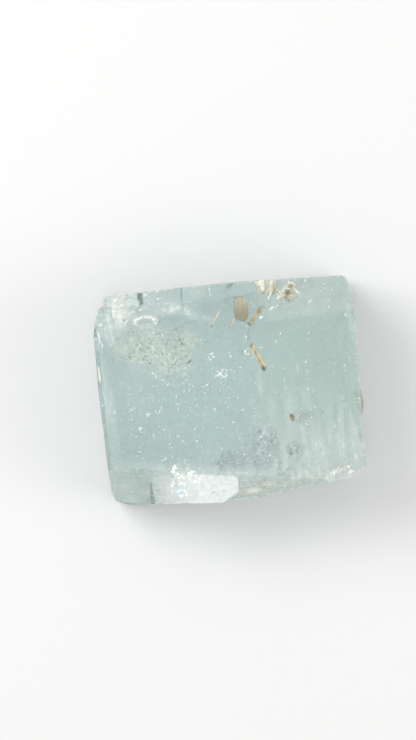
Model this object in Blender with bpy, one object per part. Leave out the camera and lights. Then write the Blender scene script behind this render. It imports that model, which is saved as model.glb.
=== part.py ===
"""Aquamarine crystal: a stubby six-sided beryl lying on its broad back face, with the mica flakes and
albite tufts that grew into its front and its two sides. +Y is the crystal's long (c) axis, +Z its front
face, and the origin is at the middle of the base. Metres."""

import math
import random

import bmesh
import bpy
from mathutils import Matrix, Vector, noise

# Driving dimensions.
THICKNESS = 0.0200
GAP = 0.0003  # clearance between a grown-in mineral and the crystal around it
FLAKE_COVER = 0.0001  # how far the front flakes lie below the front face
SIDE = 0.02127  # the right-hand prism face, from the middle
BLANK = 0.060  # the block that the faces are cut from
CENTRE = Vector((0, 0, THICKNESS / 2))

# Each crystal face: azimuth from +X, tilt above the horizontal (degrees), distance from CENTRE.
FACES = {
    "front_left": (180, 89.7, THICKNESS / 2),
    "front_right": (0, 89.6, THICKNESS / 2),
    "back": (0, -90, THICKNESS / 2),
    "prism_right": (359.5, 0, SIDE),
    "prism_left_low": (182.1, 0, 0.02171),
    "prism_left_high": (179.7, 0, 0.02182),
    "bevel_right_front": (359.5, 30, 0.02312),
    "bevel_left_front": (181.5, 30, 0.02315),
    "bevel_right_back": (359.5, -30, 0.02293),
    "bevel_left_back": (181.0, -30, 0.02319),
    "end_top_left": (91.1, 0, 0.01809),
    "end_top_right": (88.3, 0, 0.01821),
    "pyramid_top_front": (92.5, 30, 0.01842),
    "pyramid_top_back": (90, -30, 0.02015),
    "end_bottom_right": (278.0, 0, 0.01817),
    "end_bottom_middle": (272.1, 0, 0.01799),
    "end_bottom_left": (267.2, 0, 0.01826),
    "pyramid_bottom_front": (262.0, 30, 0.01687),
    "pyramid_bottom_back": (271, -30, 0.02007),
    "corner_top_right": (21.7, 0, 0.02537),
    "corner_top_right_small": (61.4, 0, 0.02499),
    "corner_top_left": (157.3, 0, 0.02495),
    "corner_top_left_low": (170.6, 0, 0.02333),
    "corner_bottom_right": (313.7, 0, 0.02463),
    "corner_bottom_left": (246.7, 0, 0.02329),
    "corner_bottom_left_steep": (193.9, 0, 0.02408),
}
# The frosted ledge that stands on the lower front pyramid face, in the same way.
LEDGE_FACES = {
    "right": (0, 0, 0.0),
    "left": (184, 0, 0.0098),
    "chamfer": (298, 0, 0.0149),
    "upper_edge": (82, 0, -0.0136),
    "end": (267.2, 0, 0.01820),
    "floor": (0, -90, -0.0010),
    "top": (262, 62, 0.0151),
}
PYRAMID_LEAN = 60  # how far the end pyramid faces lean from the front face, degrees


# Building blocks.
def clear_scene():
    for old in list(bpy.data.objects):
        bpy.data.objects.remove(old, do_unlink=True)


def new_collection(name):
    group = bpy.data.collections.new(name)
    bpy.context.scene.collection.children.link(group)
    return group


def material(name, colour, roughness, transmission=0.0, ior=1.5):
    made = bpy.data.materials.new(name)
    made.use_nodes = True
    shader = made.node_tree.nodes["Principled BSDF"]
    shader.inputs["Base Color"].default_value = (*colour, 1)
    shader.inputs["Roughness"].default_value = roughness
    shader.inputs["Metallic"].default_value = 0.0
    shader.inputs["Transmission Weight"].default_value = transmission
    shader.inputs["IOR"].default_value = ior
    return made


def add_object(name, bm, group, surface=None):
    bmesh.ops.recalc_face_normals(bm, faces=bm.faces[:])
    mesh = bpy.data.meshes.new(name)
    bm.to_mesh(mesh)
    bm.free()
    made = bpy.data.objects.new(name, mesh)
    group.objects.link(made)
    if surface:
        mesh.materials.append(surface)
    return made


def add_cutter(name, bm):
    made = add_object(name, bm, CUTTERS)
    made.hide_render = True
    made.display_type = "WIRE"
    return made


def combine(target, other, operation="DIFFERENCE"):
    """Cut OTHER out of TARGET, or join it on."""
    step = target.modifiers.new(other.name, "BOOLEAN")
    step.operation = operation
    step.object = other
    step.solver = "EXACT"


def direction(azimuth, tilt):
    level = math.cos(math.radians(tilt))
    turn = math.radians(azimuth)
    return Vector((level * math.cos(turn), level * math.sin(turn), math.sin(math.radians(tilt))))


def faceted(faces, centre=CENTRE):
    """A block cut down to the flat faces named in FACES."""
    bm = bmesh.new()
    bmesh.ops.create_cube(bm, size=BLANK, matrix=Matrix.Translation(centre))
    for azimuth, tilt, distance in faces.values():
        normal = direction(azimuth, tilt)
        parts = bm.verts[:] + bm.edges[:] + bm.faces[:]
        cut = bmesh.ops.bisect_plane(
            bm, geom=parts, plane_co=centre + normal * distance, plane_no=normal, clear_outer=True
        )
        rim = [part for part in cut["geom_cut"] if isinstance(part, bmesh.types.BMEdge)]
        bmesh.ops.holes_fill(bm, edges=rim)
    return bm


def placed(place, turn=0.0, lean=0.0, size=(1, 1, 1)):
    """The matrix of a piece at PLACE, turned about +Z and leaning about its own X (degrees)."""
    scale = Matrix.Diagonal((*size, 1))
    spin = Matrix.Rotation(math.radians(turn), 4, "Z")
    tip = Matrix.Rotation(math.radians(lean), 4, "X")
    return Matrix.Translation(place) @ spin @ tip @ scale


def block(place, size, turn=0.0, lean=0.0):
    bm = bmesh.new()
    bmesh.ops.create_cube(bm, size=1, matrix=placed(place, turn, lean, size))
    return bm


def lump(place, radii, turn=0.0, rough=0.0, grain=0.001, seed=0, detail=3, lobes=0.0):
    """A rounded lump. Its skin moves by up to ROUGH in bumps as wide as GRAIN; LOBES bends its outline."""
    bm = bmesh.new()
    bmesh.ops.create_icosphere(bm, subdivisions=detail, radius=1, matrix=placed(place, turn, 0, radii))
    middle = Vector(place)
    away = Vector((seed * 7.3, seed * 3.1, seed * 5.7))
    for vert in bm.verts:
        outward = (vert.co - middle).normalized()
        swell = 1 + lobes * noise.noise(outward * 1.6 + away)
        bump = rough * noise.noise(vert.co / grain + away)
        vert.co = middle + (vert.co - middle) * swell + outward * bump
    return bm


def spike(root, tip, width, thickness):
    """A flat six-sided blade that tapers from ROOT to TIP."""
    along = tip - root
    turn = along.to_track_quat("Z", "Y").to_matrix().to_4x4()
    shape = Matrix.Translation((root + tip) / 2) @ turn @ Matrix.Diagonal((width, thickness, 1, 1))
    bm = bmesh.new()
    bmesh.ops.create_cone(
        bm, cap_ends=True, segments=6, radius1=0.5, radius2=0.12, depth=along.length, matrix=shape
    )
    return bm


# Where the front surface lies.
def front_height(x, y):
    """Height of the front of the crystal over the point x, y."""
    heights = []
    for azimuth, tilt, distance in FACES.values():
        if tilt > 0:
            normal = direction(azimuth, tilt)
            heights.append(CENTRE.z + (distance - normal.x * x - normal.y * y) / normal.z)
    return min(heights)


# The crystal.
def build_crystal():
    crystal = add_object("aquamarine_crystal", faceted(FACES), MODEL, BERYL)
    ledge = add_cutter("frosted_ledge", faceted(LEDGE_FACES))
    combine(crystal, ledge, "UNION")
    cut_broken_corner(crystal)
    cut_etched_hollow(crystal)
    cut_end_slots(crystal)
    cut_pits(crystal)
    cut_side_grooves(crystal)
    cut_end_steps(crystal)
    cut_scoops(crystal)
    return crystal


def cut_broken_corner(crystal):
    """The top left corner: a break right through, and a rough hollow on the front beside it."""
    bite = lump((-0.0209, 0.01635, 0.0100), (0.0013, 0.0013, 0.0145), 0, 0.0004, 0.0012, 4)
    combine(crystal, add_cutter("corner_break", bite))
    hollow = lump((-0.0176, 0.0152, 0.0202), (0.0023, 0.0030, 0.0011), 10, 0.0005, 0.0009, 5)
    combine(crystal, add_cutter("corner_hollow", hollow))
    chip = lump((-0.0216, 0.0105, 0.0197), (0.0010, 0.0019, 0.0013), 0, 0.0003, 0.0008, 6, 2)
    combine(crystal, add_cutter("edge_chip", chip))


def cut_etched_hollow(crystal):
    """The shallow etched hollow in the upper left of the front face."""
    lenses = [
        ((-0.0133, 0.0100), (0.0052, 0.0033), -14),
        ((-0.0079, 0.0077), (0.0040, 0.0034), -40),
    ]
    for number, ((x, y), (across, along), turn) in enumerate(lenses):
        place = (x, y, front_height(x, y) + 0.0004)
        lens = lump(place, (across, along, 0.0009), turn, 0.0004, 0.0009, 11 + number, 4, 0.45)
        combine(crystal, add_cutter(f"etched_hollow_{number}", lens))


def cut_end_slots(crystal):
    """Narrow notches in the front pyramid faces: middle, width, length down the slope, depth."""
    top_slots = {
        "top_slot_wide": ((-0.0137, 0.0168), 0.00080, 0.0040, 0.0008),
        "top_slot_narrow": ((-0.0066, 0.0164), 0.00035, 0.0046, 0.0006),
        "top_slot_middle": ((0.0014, 0.0172), 0.00090, 0.0022, 0.0007),
        "top_slot_right": ((0.0146, 0.0174), 0.00160, 0.0018, 0.0005),
    }
    bottom_slots = {"bottom_slot": ((-0.0146, -0.0159), 0.00060, 0.0074, 0.0008)}
    for slots, turn, lean in ((top_slots, 4, -PYRAMID_LEAN), (bottom_slots, -8, PYRAMID_LEAN)):
        for name, ((x, y), width, length, depth) in slots.items():
            slot = block((x, y, front_height(x, y)), (width, length, 2 * depth), turn, lean)
            combine(crystal, add_cutter(name, slot))


def cut_pits(crystal):
    """Shallow pits in the lower part of the front face."""
    rng = random.Random(9)
    patches = [(0.0042, -0.0092, 0.0020), (0.0095, -0.0104, 0.0010), (-0.0018, -0.0116, 0.0016)]
    for patch, (x, y, spread) in enumerate(patches):
        for number in range(3):
            px = x + rng.uniform(-spread, spread)
            py = y + rng.uniform(-spread, spread)
            place = (px, py, front_height(px, py) + 0.0002)
            radii = (rng.uniform(0.0004, 0.0008), rng.uniform(0.0005, 0.0010), 0.0005)
            pit = lump(place, radii, rng.uniform(0, 90), detail=1)
            combine(crystal, add_cutter(f"pit_{patch}_{number}", pit))


def cut_side_grooves(crystal):
    """Growth lines along the c axis on the two prism sides, and three faint ones on the front."""
    rng = random.Random(21)
    for side in (-1, 1):
        for number in range(5):
            height = 0.0066 + 0.0024 * number + rng.uniform(-0.0006, 0.0006)
            width = rng.uniform(0.0003, 0.0007)
            start, stop = sorted((rng.uniform(-0.022, 0.0), rng.uniform(0.0, 0.022)))
            place = (side * (SIDE + 0.0005), (start + stop) / 2, height)
            groove = bmesh.new()
            size = placed(place, 0, 0, (0.0012, stop - start, width))
            bmesh.ops.create_cube(groove, size=1, matrix=size @ Matrix.Rotation(math.radians(45), 4, "Y"))
            combine(crystal, add_cutter(f"side_groove_{number}_{'left' if side < 0 else 'right'}", groove))


def cut_end_steps(crystal):
    """Thin steps left in the growth of the top end face, behind its front edge."""
    steps = [
        ((-0.0105, 0.0183, 0.0085), (0.0095, 0.0009, 0.0062)),
        ((-0.0020, 0.0184, 0.0060), (0.0120, 0.0009, 0.0040)),
        ((0.0100, 0.0182, 0.0105), (0.0110, 0.0008, 0.0048)),
    ]
    for number, (place, size) in enumerate(steps):
        combine(crystal, add_cutter(f"end_step_{number}", block(place, size, 1.5 * number, 5)))


def cut_scoops(crystal):
    """Shell-shaped breaks on the bottom end, clear of its front and back edges."""
    scoops = [
        ((-0.0110, -0.0236, 0.0046), 0.0064),
        ((0.0020, -0.0262, 0.0050), 0.0088),
        ((0.0128, -0.0240, 0.0062), 0.0078),
    ]
    for number, (place, radius) in enumerate(scoops):
        ball = lump(place, (radius, radius, radius * 0.55), 0, 0.0002, 0.002, 31 + number)
        combine(crystal, add_cutter(f"scoop_{number}", ball))


# The minerals that grew into it, each in an open socket of its own.
def seat(crystal, name, bm, cutter, surface):
    piece = add_object(name, bm, MODEL, surface)
    combine(crystal, add_cutter(f"{name}_socket", cutter))
    return piece


def flat_flake(place, size, turn, whole):
    """A thin flake lying flat: its head is rounded, and its foot too unless it broke off there."""
    across, along, thick = size
    wide = across / 2
    straight = along / 2 - wide
    faces = {
        "right": (0, 0, wide),
        "left": (180, 0, wide),
        "head": (90, 0, along / 2),
        "foot": (270, 0, along / 2),
        "front": (0, 90, thick / 2),
        "back": (0, -90, thick / 2),
    }
    for azimuth in (30, 60, 120, 150):
        reach = straight * math.sin(math.radians(azimuth)) + wide
        faces[f"head_{azimuth}"] = (azimuth, 0, reach)
        if whole:
            faces[f"foot_{azimuth}"] = (azimuth + 180, 0, reach)
    bm = faceted(faces, Vector((0, 0, 0)))
    bm.transform(placed(place, turn))
    return bm


def seat_in_front(crystal, name, spot, size, turn, surface, whole):
    """A flake lying just under the front face, in a socket that is open to the front."""
    x, y = spot
    across, along, thick = size
    top = front_height(x, y)
    flake = flat_flake((x, y, top - FLAKE_COVER - thick / 2), size, turn, whole)
    room = (across + 2 * GAP, along + 2 * GAP, 2 * (FLAKE_COVER + thick + GAP))
    seat(crystal, name, flake, block((x, y, top), room, turn), surface)


def build_micas(crystal):
    """The flakes in the front face: middle, (width, length, thickness), turn about +Z, surface, whole."""
    flakes = {
        "mica_plate": ((0.00284, 0.01350), (0.00235, 0.00435, 0.0004), 1, MICA_PLATE, False),
        "mica_needle": ((-0.00156, 0.01222), (0.00026, 0.0033, 0.0003), -35.6, MICA_GOLD, True),
        "mica_blade_upper": ((0.00528, 0.01226), (0.0007, 0.0037, 0.0004), -39.4, MICA_OLIVE, True),
        "mica_blade_lower": ((0.00494, 0.00540), (0.00085, 0.0048, 0.0005), 23.8, MICA_GOLD, True),
        "mica_fleck": ((0.00962, -0.00508), (0.0006, 0.0016, 0.0004), 25, MICA_OLIVE, True),
    }
    for name, (spot, size, turn, surface, whole) in flakes.items():
        seat_in_front(crystal, name, spot, size, turn, surface, whole)


def disc(place, radii, thick):
    bm = bmesh.new()
    shape = placed(place, 0, 0, (*radii, thick))
    bmesh.ops.create_cone(bm, cap_ends=True, segments=20, radius1=1, radius2=1, depth=1, matrix=shape)
    return bm


def build_mica_book(crystal):
    """A book of mica whose rounded edge stands out of the right side."""
    place = (SIDE - 0.00065, -0.0035, 0.0118)
    across, along, thick = 0.0012, 0.0026, 0.0012
    socket = disc(place, (across + GAP, along + GAP), thick + 2 * GAP)
    seat(crystal, "mica_book_right", disc(place, (across, along), thick), socket, MICA_GOLD)


def build_albite_flake(crystal):
    """A cream flake on the left edge."""
    place = (-0.0214, 0.0047, 0.0186)
    radii = (0.0005, 0.0019, 0.0006)
    room = [radius + GAP + 0.00005 for radius in radii]
    flake = lump(place, radii, 3, detail=2)
    seat(crystal, "albite_flake_left", flake, lump(place, room, 3, detail=2), ALBITE)


def build_cluster(crystal, name, heart, tips, width, room):
    """A tuft of albite blades that spread from HEART to TIPS; ROOM holds its socket's radii."""
    heart = Vector(heart)
    tuft = add_object(name, lump(heart, (0.0005, 0.0005, 0.0005), detail=1), MODEL, ALBITE)
    ends = [Vector(tip) for tip in tips]
    for number, tip in enumerate(ends):
        root = heart - (tip - heart).normalized() * 0.0003
        blade = add_cutter(f"{name}_blade_{number}", spike(root, tip, width, width * 0.6))
        combine(tuft, blade, "UNION")
    middle = sum(ends, heart) / (len(ends) + 1)
    combine(crystal, add_cutter(f"{name}_socket", lump(middle, room, detail=2)))


def build_albites(crystal):
    left_tips = [
        (0.0058, 0.01735, 0.0186),
        (0.0064, 0.01600, 0.0187),
        (0.0076, 0.01480, 0.0190),
        (0.0084, 0.01610, 0.0190),
        (0.0090, 0.01740, 0.0186),
    ]
    right_tips = [
        (0.0097, 0.01480, 0.0191),
        (0.0100, 0.01620, 0.0190),
        (0.0112, 0.01700, 0.0188),
        (0.0121, 0.01640, 0.0190),
        (0.0126, 0.01530, 0.0191),
        (0.0108, 0.01440, 0.0191),
    ]
    left_heart, left_room = (0.0074, 0.01700, 0.0183), (0.0024, 0.0022, 0.0015)
    right_heart, right_room = (0.0112, 0.01570, 0.0185), (0.0023, 0.0020, 0.0015)
    build_cluster(crystal, "albite_cluster_left", left_heart, left_tips, 0.0011, left_room)
    build_cluster(crystal, "albite_cluster_right", right_heart, right_tips, 0.0009, right_room)


clear_scene()
MODEL = new_collection("aquamarine_crystal")
CUTTERS = new_collection("cutters")
BERYL = material("beryl", (0.62, 0.76, 0.74), 0.12, 0.6, 1.577)
MICA_PLATE = material("mica_plate", (0.45, 0.28, 0.17), 0.35)
MICA_GOLD = material("mica_gold", (0.52, 0.36, 0.17), 0.30)
MICA_OLIVE = material("mica_olive", (0.33, 0.25, 0.13), 0.35)
ALBITE = material("albite", (0.86, 0.84, 0.78), 0.55)
CRYSTAL = build_crystal()
build_micas(CRYSTAL)
build_mica_book(CRYSTAL)
build_albite_flake(CRYSTAL)
build_albites(CRYSTAL)
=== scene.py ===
"""Dresses the aquamarine crystal: its glassy body with the etched hollow, the frosted ledge and the broken
corner, the mica flakes and albite tufts that grew into it, and the specks and veils inside it."""

import math
import random
from contextlib import contextmanager

import bpy
import numpy as np
from mathutils import Matrix, Vector, noise


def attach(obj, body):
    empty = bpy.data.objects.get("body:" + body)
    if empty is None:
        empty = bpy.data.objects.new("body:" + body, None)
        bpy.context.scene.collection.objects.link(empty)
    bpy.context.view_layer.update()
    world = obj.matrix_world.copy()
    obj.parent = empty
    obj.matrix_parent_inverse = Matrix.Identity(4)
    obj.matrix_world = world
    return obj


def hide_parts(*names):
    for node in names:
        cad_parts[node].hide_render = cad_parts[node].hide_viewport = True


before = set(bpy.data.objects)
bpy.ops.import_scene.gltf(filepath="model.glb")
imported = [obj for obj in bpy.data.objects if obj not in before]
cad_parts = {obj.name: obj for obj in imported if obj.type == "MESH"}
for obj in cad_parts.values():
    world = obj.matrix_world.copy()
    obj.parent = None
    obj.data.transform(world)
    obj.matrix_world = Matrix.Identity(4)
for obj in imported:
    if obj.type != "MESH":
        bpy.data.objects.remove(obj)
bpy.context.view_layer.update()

# Sizes are in millimetres up to the moment that a mesh is made, where MM turns them into metres.
MM = 0.001
HALF = 10.0  # half of the crystal's thickness
GRID_STEP = 0.16  # spacing of the points on the modelled front surface
SIDE_STEP = 0.5  # spacing of the points on the sides, the ends and the back
SHEET_SIZE = (45.2, 38.4)  # size of the sheet that the front is modelled on
CUT_TOLERANCE = 1e-7
SPECK_COUNT = 1250
DEEP_TUBES, NEAR_TUBES = 150, 190
SHELL_FLATNESS = 0.75  # height of a shell-shaped break for its width
SHEET_FILL = 0.86  # how much of its share of a book's thickness a mica sheet fills
EYE_HEIGHT = 1.02  # metres

# Each crystal face: azimuth from +X, tilt above the horizontal (degrees), distance from the middle.
FRONT_FACES = {
    "front_left": (180, 89.7, 10.0),
    "front_right": (0, 89.6, 10.0),
    "bevel_right_front": (359.5, 30, 23.12),
    "bevel_left_front": (181.5, 30, 23.15),
    "pyramid_top_front": (92.5, 30, 18.42),
    "pyramid_bottom_front": (262.0, 30, 16.87),
}
OTHER_FACES = {
    "back": (0, -90, 10.0),
    "prism_right": (359.5, 0, 21.27),
    "prism_left_low": (182.1, 0, 21.71),
    "prism_left_high": (179.7, 0, 21.82),
    "bevel_right_back": (359.5, -30, 22.93),
    "bevel_left_back": (181.0, -30, 23.19),
    "end_top_left": (91.1, 0, 18.09),
    "end_top_right": (88.3, 0, 18.21),
    "pyramid_top_back": (90, -30, 20.15),
    "end_bottom_right": (278.0, 0, 18.17),
    "end_bottom_middle": (272.1, 0, 17.99),
    "end_bottom_left": (267.2, 0, 18.26),
    "pyramid_bottom_back": (271, -30, 20.07),
    "corner_top_right": (21.7, 0, 25.37),
    "corner_top_right_small": (61.4, 0, 24.99),
    "corner_top_left": (157.3, 0, 24.95),
    "corner_top_left_low": (170.6, 0, 23.33),
    "corner_bottom_right": (313.7, 0, 24.63),
    "corner_bottom_left": (246.7, 0, 23.29),
    "corner_bottom_left_steep": (193.9, 0, 24.08),
}
ETCHED_OUTLINE = [
    (-19.0, 9.0), (-16.9, 6.2), (-13.5, 5.0), (-9.5, 2.8), (-7.2, 4.0), (-5.6, 5.4), (-4.1, 7.9),
    (-4.3, 9.8), (-6.4, 11.2), (-9.9, 11.6), (-12.0, 12.9), (-14.7, 13.4), (-15.7, 11.3),
]
LEDGE_OUTLINE = [
    (-12.0, -12.2), (-0.3, -13.8), (-0.02, -14.2), (-0.02, -16.6), (-2.9, -18.3), (-12.0, -19.8),
]
LEDGE_SHELF = [(-16.0, -11.0), *LEDGE_OUTLINE[1:5], (-16.0, -20.3)]
LEDGE_TOP = (262, 62, 15.1)
BREAK_SHELLS = [
    ((-14, 4.0), 5.0), ((-4, 6.5), 6.0), ((6.5, 4.5), 5.5), ((15.5, 7.5), 5.0), ((1.5, 12.0), 3.5),
]
CORNER_OUTLINE = [
    (-18.7, 17.9), (-16.5, 18.0), (-16.1, 16.1), (-15.7, 14.3), (-16.6, 13.0), (-18.4, 13.3),
    (-18.6, 15.5),
]
# Outline of the wedge beside the ledge's step, darkened as painted shade.
DARK_WEDGE = [(0.1, -16.7), (1.6, -17.6), (-2.6, -18.3), (-2.6, -17.9)]
ARC_MIDDLE = (-13.1, 12.65)
ARC_RADII = (1.75, 0.85)

# Chips out of the edges. Each row: place, radii, roughness. The first breaks off the top left corner.
CHIPS = [
    ((-20.9, 16.35, 10.0), (1.3, 1.3, 14.5), 0.4), ((-21.9, 10.5, 19.9), (0.9, 2.2, 1.1), 0.3),
    ((-21.9, -0.4, 19.0), (0.35, 0.5, 0.6), 0.3), ((-21.5, -5.8, 19.2), (0.35, 0.6, 0.7), 0.3),
    ((-8.0, 18.5, 18.6), (0.8, 0.35, 0.5), 0.3), ((17.2, 18.5, 19.3), (0.7, 0.4, 0.5), 0.3),
    ((21.6, 6.2, 19.4), (0.35, 0.8, 0.4), 0.3), ((12.4, -16.7, 19.0), (0.9, 0.35, 0.5), 0.3),
    ((-21.8, -9.0, 6.0), (0.5, 1.2, 0.8), 0.3), ((21.7, 2.0, 7.0), (0.5, 1.6, 1.0), 0.3),
    ((4.0, 18.6, 8.0), (1.3, 0.6, 0.9), 0.3),
]

# Soft marks on the front. Each row: x, y, half width, half height, turn (degrees), strength.
SOFT_MARKS = [
    (-19.0, 12.2, 1.9, 3.8, 10, 0.46), (-17.4, 14.3, 1.8, 3.0, 0, 0.60),
    (-20.9, 10.6, 0.35, 1.9, -5, 0.50), (-20.0, -1.0, 1.3, 9.5, 2, 0.26), (-16.5, 1.0, 4.5, 9.0, 0, 0.10),
    (-8.8, 14.5, 3.8, 1.0, 2, 0.60), (-6.2, 13.7, 2.6, 0.8, -20, 0.42), (-4.0, 12.6, 2.8, 0.55, -12, 0.26),
    (-12.9, 14.9, 2.4, 0.5, -4, 0.34), (-12.0, 13.9, 3.4, 0.6, -5, 0.24), (-14.9, 16.4, 1.1, 1.4, 0, 0.22),
    (4.9, 0.8, 0.45, 2.6, 2, 0.26), (11.3, 3.0, 0.4, 1.3, 0, 0.26), (9.1, -15.3, 0.7, 1.6, 0, 0.34),
    (20.0, -8.6, 0.6, 2.6, 5, 0.34), (14.5, -10.5, 8.2, 6.0, 0, 0.16), (9.5, -14.2, 7.0, 3.0, 0, 0.16),
    (18.5, -11.0, 4.0, 4.5, 0, 0.24), (-10.5, -15.8, 3.6, 2.6, 0, 0.38), (4.6, -8.9, 1.7, 2.5, -15, 0.26),
    (4.9, -7.0, 1.1, 1.0, 0, 0.32), (-17.2, -16.9, 1.8, 1.0, 0, 0.34), (14.0, 13.5, 7.5, 5.0, 0, 0.10),
    (-9.2, -14.2, 1.9, 2.6, 0, 0.42), (6.3, -12.6, 0.4, 1.3, 0, 0.30), (13.3, -13.9, 0.6, 1.6, 0, 0.30),
    (17.0, -9.0, 0.9, 1.5, 0, 0.26), (-4.4, 16.9, 1.8, 1.0, 0, 0.26), (19.7, -12.7, 0.5, 1.5, 8, 0.50),
    (-16.9, 14.4, 1.0, 0.9, 0, 0.36), (-6.2, 9.5, 1.3, 1.6, 0, 0.16), (-7.0, 4.6, 1.5, 1.0, 30, 0.16),
    (20.6, 12.0, 0.7, 4.0, 0, 0.16), (-15.5, -15.0, 3.5, 1.6, 0, 0.16), (-16.4, 16.2, 0.6, 1.6, 12, 0.30),
    (-20.3, 12.0, 1.3, 2.6, 0, 0.34), (-19.2, 13.6, 0.5, 1.4, 0, 0.30), (-17.6, 12.0, 1.6, 1.2, 0, 0.24),
    (-19.0, 16.6, 0.9, 1.0, 0, 0.24),
]
FROST_MARKS = [
    (-17.8, 16.7, 0.85, 0.26, 38, 1.3), (-17.9, 16.8, 0.7, 0.24, -40, 1.3),
    (-18.2, 14.9, 0.24, 1.5, 0, 1.1), (-19.9, 16.6, 0.25, 0.7, 0, 1.1), (-18.9, 17.1, 0.3, 0.2, 0, 0.9),
    (-16.6, 15.2, 0.7, 0.8, 0, 0.42), (-20.5, 12.9, 0.5, 0.28, 30, 0.95),
    (-20.95, 11.0, 0.2, 1.2, 3, 1.05), (-20.5, 9.5, 0.2, 0.9, -5, 0.95), (-20.3, 11.3, 0.12, 0.8, -5, 0.6),
    (-20.2, 14.5, 0.25, 0.8, 20, 0.6), (-14.1, 15.7, 0.3, 0.6, 0, 0.8), (-14.9, 14.5, 0.35, 0.3, 0, 0.8),
    (-13.8, 14.6, 0.6, 0.2, 5, 0.8), (-12.7, 17.2, 0.6, 0.5, 0, 0.7), (-10.6, 17.7, 0.35, 0.25, 0, 0.9),
    (-9.4, 17.7, 0.25, 0.25, 0, 0.8), (-10.7, 16.4, 0.28, 0.5, 0, 0.9), (3.6, 17.6, 1.9, 0.3, 0, 0.45),
    (8.8, 13.5, 0.6, 0.15, 30, 1.1), (7.9, 13.1, 0.8, 0.4, 30, 0.75), (6.0, 11.8, 0.45, 0.28, 0, 1.0),
    (5.1, 13.8, 0.35, 0.3, 0, 0.6), (13.8, 17.2, 0.25, 0.5, 10, 1.1), (13.5, 16.4, 0.2, 0.3, -20, 0.8),
    (14.2, 13.7, 0.28, 0.25, 0, 0.9), (10.3, 13.2, 0.3, 0.45, 0, 0.5), (13.8, 11.6, 0.2, 0.35, 0, 0.5),
    (20.0, 10.9, 0.45, 0.35, 0, 0.5), (9.0, 8.8, 0.16, 0.45, 10, 0.7), (8.2, 7.6, 0.22, 0.45, 0, 0.65),
    (3.3, 8.9, 0.15, 0.34, -5, 1.1), (-7.2, 3.5, 0.6, 0.2, -30, 0.85), (8.95, 1.0, 0.2, 0.9, 5, 0.55),
    (9.1, 0.0, 0.18, 0.7, 5, 0.5), (12.9, 2.3, 0.15, 0.6, 0, 0.5), (12.7, -0.6, 0.17, 0.9, 0, 0.5),
    (6.45, -12.2, 0.17, 0.9, 0, 0.7), (13.3, -9.9, 0.17, 0.9, 0, 0.5), (19.6, -12.6, 0.3, 1.1, 8, 0.6),
    (13.3, -14.9, 0.25, 0.8, 0, 0.5), (-17.8, -15.1, 0.28, 0.25, 0, 1.0),
    (-17.5, -15.8, 0.2, 0.18, 0, 0.8), (-16.6, -16.7, 0.8, 0.26, 35, 0.75),
    (-20.6, -13.7, 0.16, 0.35, 0, 0.95), (-13.9, -14.4, 0.12, 0.9, -6, 0.8),
    (10.6, -5.1, 0.1, 0.42, -25, 1.1), (12.0, -6.4, 0.25, 0.2, 0, 0.9), (-7.4, -12.9, 0.9, 0.7, 20, 0.7),
    (-1.5, 3.1, 1.0, 0.7, 20, 0.55), (-2.5, 5.9, 0.8, 0.9, 0, 0.42), (-12.0, 3.6, 1.4, 0.9, -30, 0.35),
    (-13.9, -2.5, 0.7, 0.5, 0, 0.45), (-15.5, -4.9, 0.4, 0.7, 0, 0.5), (-9.3, -5.5, 6.0, 4.5, 0, 0.22),
    (2.3, -11.3, 1.6, 1.0, -20, 0.26), (4.4, -8.0, 1.3, 1.7, -15, 0.46), (9.6, -10.5, 1.2, 0.9, 0, 0.34),
    (11.3, -5.6, 1.0, 0.7, 0, 0.45), (15.5, -9.5, 4.5, 3.5, 0, 0.22), (-1.0, -12.0, 2.2, 1.4, 0, 0.12),
    # The row at -3.0, -13.2 on the next line is a painted highlight: a thin bright line along the ledge's
    # upper edge.
    (-3.0, -13.2, 2.9, 0.35, -8, 0.42), (-15.0, -16.5, 2.6, 1.2, 0, 0.34),
    (-6.4, -16.3, 0.9, 0.6, -20, 0.95),
]
# The rows at 21.1, -10.5 and 20.9, -12.6 are a painted highlight: a warm pale line along the right edge.
CREAM_MARKS = [
    (-6.7, 15.2, 0.32, 0.24, 0, 0.7), (-4.2, 16.8, 1.7, 0.9, 0, 0.3), (-18.2, 13.6, 1.2, 1.6, 0, 0.2),
    (19.9, 4.0, 0.4, 0.3, 0, 0.45), (2.2, -16.6, 2.0, 0.8, 6, 1.1), (0.9, -17.0, 0.8, 0.3, 0, 0.7),
    (4.6, -15.6, 1.4, 0.7, 8, 0.7), (21.1, -10.5, 0.3, 2.6, 3, 0.6), (16.6, -14.4, 2.4, 0.7, 14, 0.6),
    (5.5, -15.9, 2.4, 1.0, 15, 0.45), (7.6, -16.3, 0.3, 0.5, 0, 0.9), (15.8, -14.8, 1.1, 0.5, 15, 0.85),
    (18.3, -14.0, 0.28, 0.3, 0, 1.0), (18.6, -14.9, 0.8, 0.4, 15, 0.95), (9.0, -16.2, 0.9, 1.0, 0, 0.42),
    (20.9, -12.6, 0.25, 1.5, 5, 0.55), (-7.6, -16.6, 0.8, 0.4, 0, 0.5), (-19.6, 16.2, 0.5, 0.9, 10, 0.5),
    (-9.8, -13.4, 0.35, 0.3, 0, 0.6), (12.5, -15.3, 1.8, 0.6, 15, 0.42),
]
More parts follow.
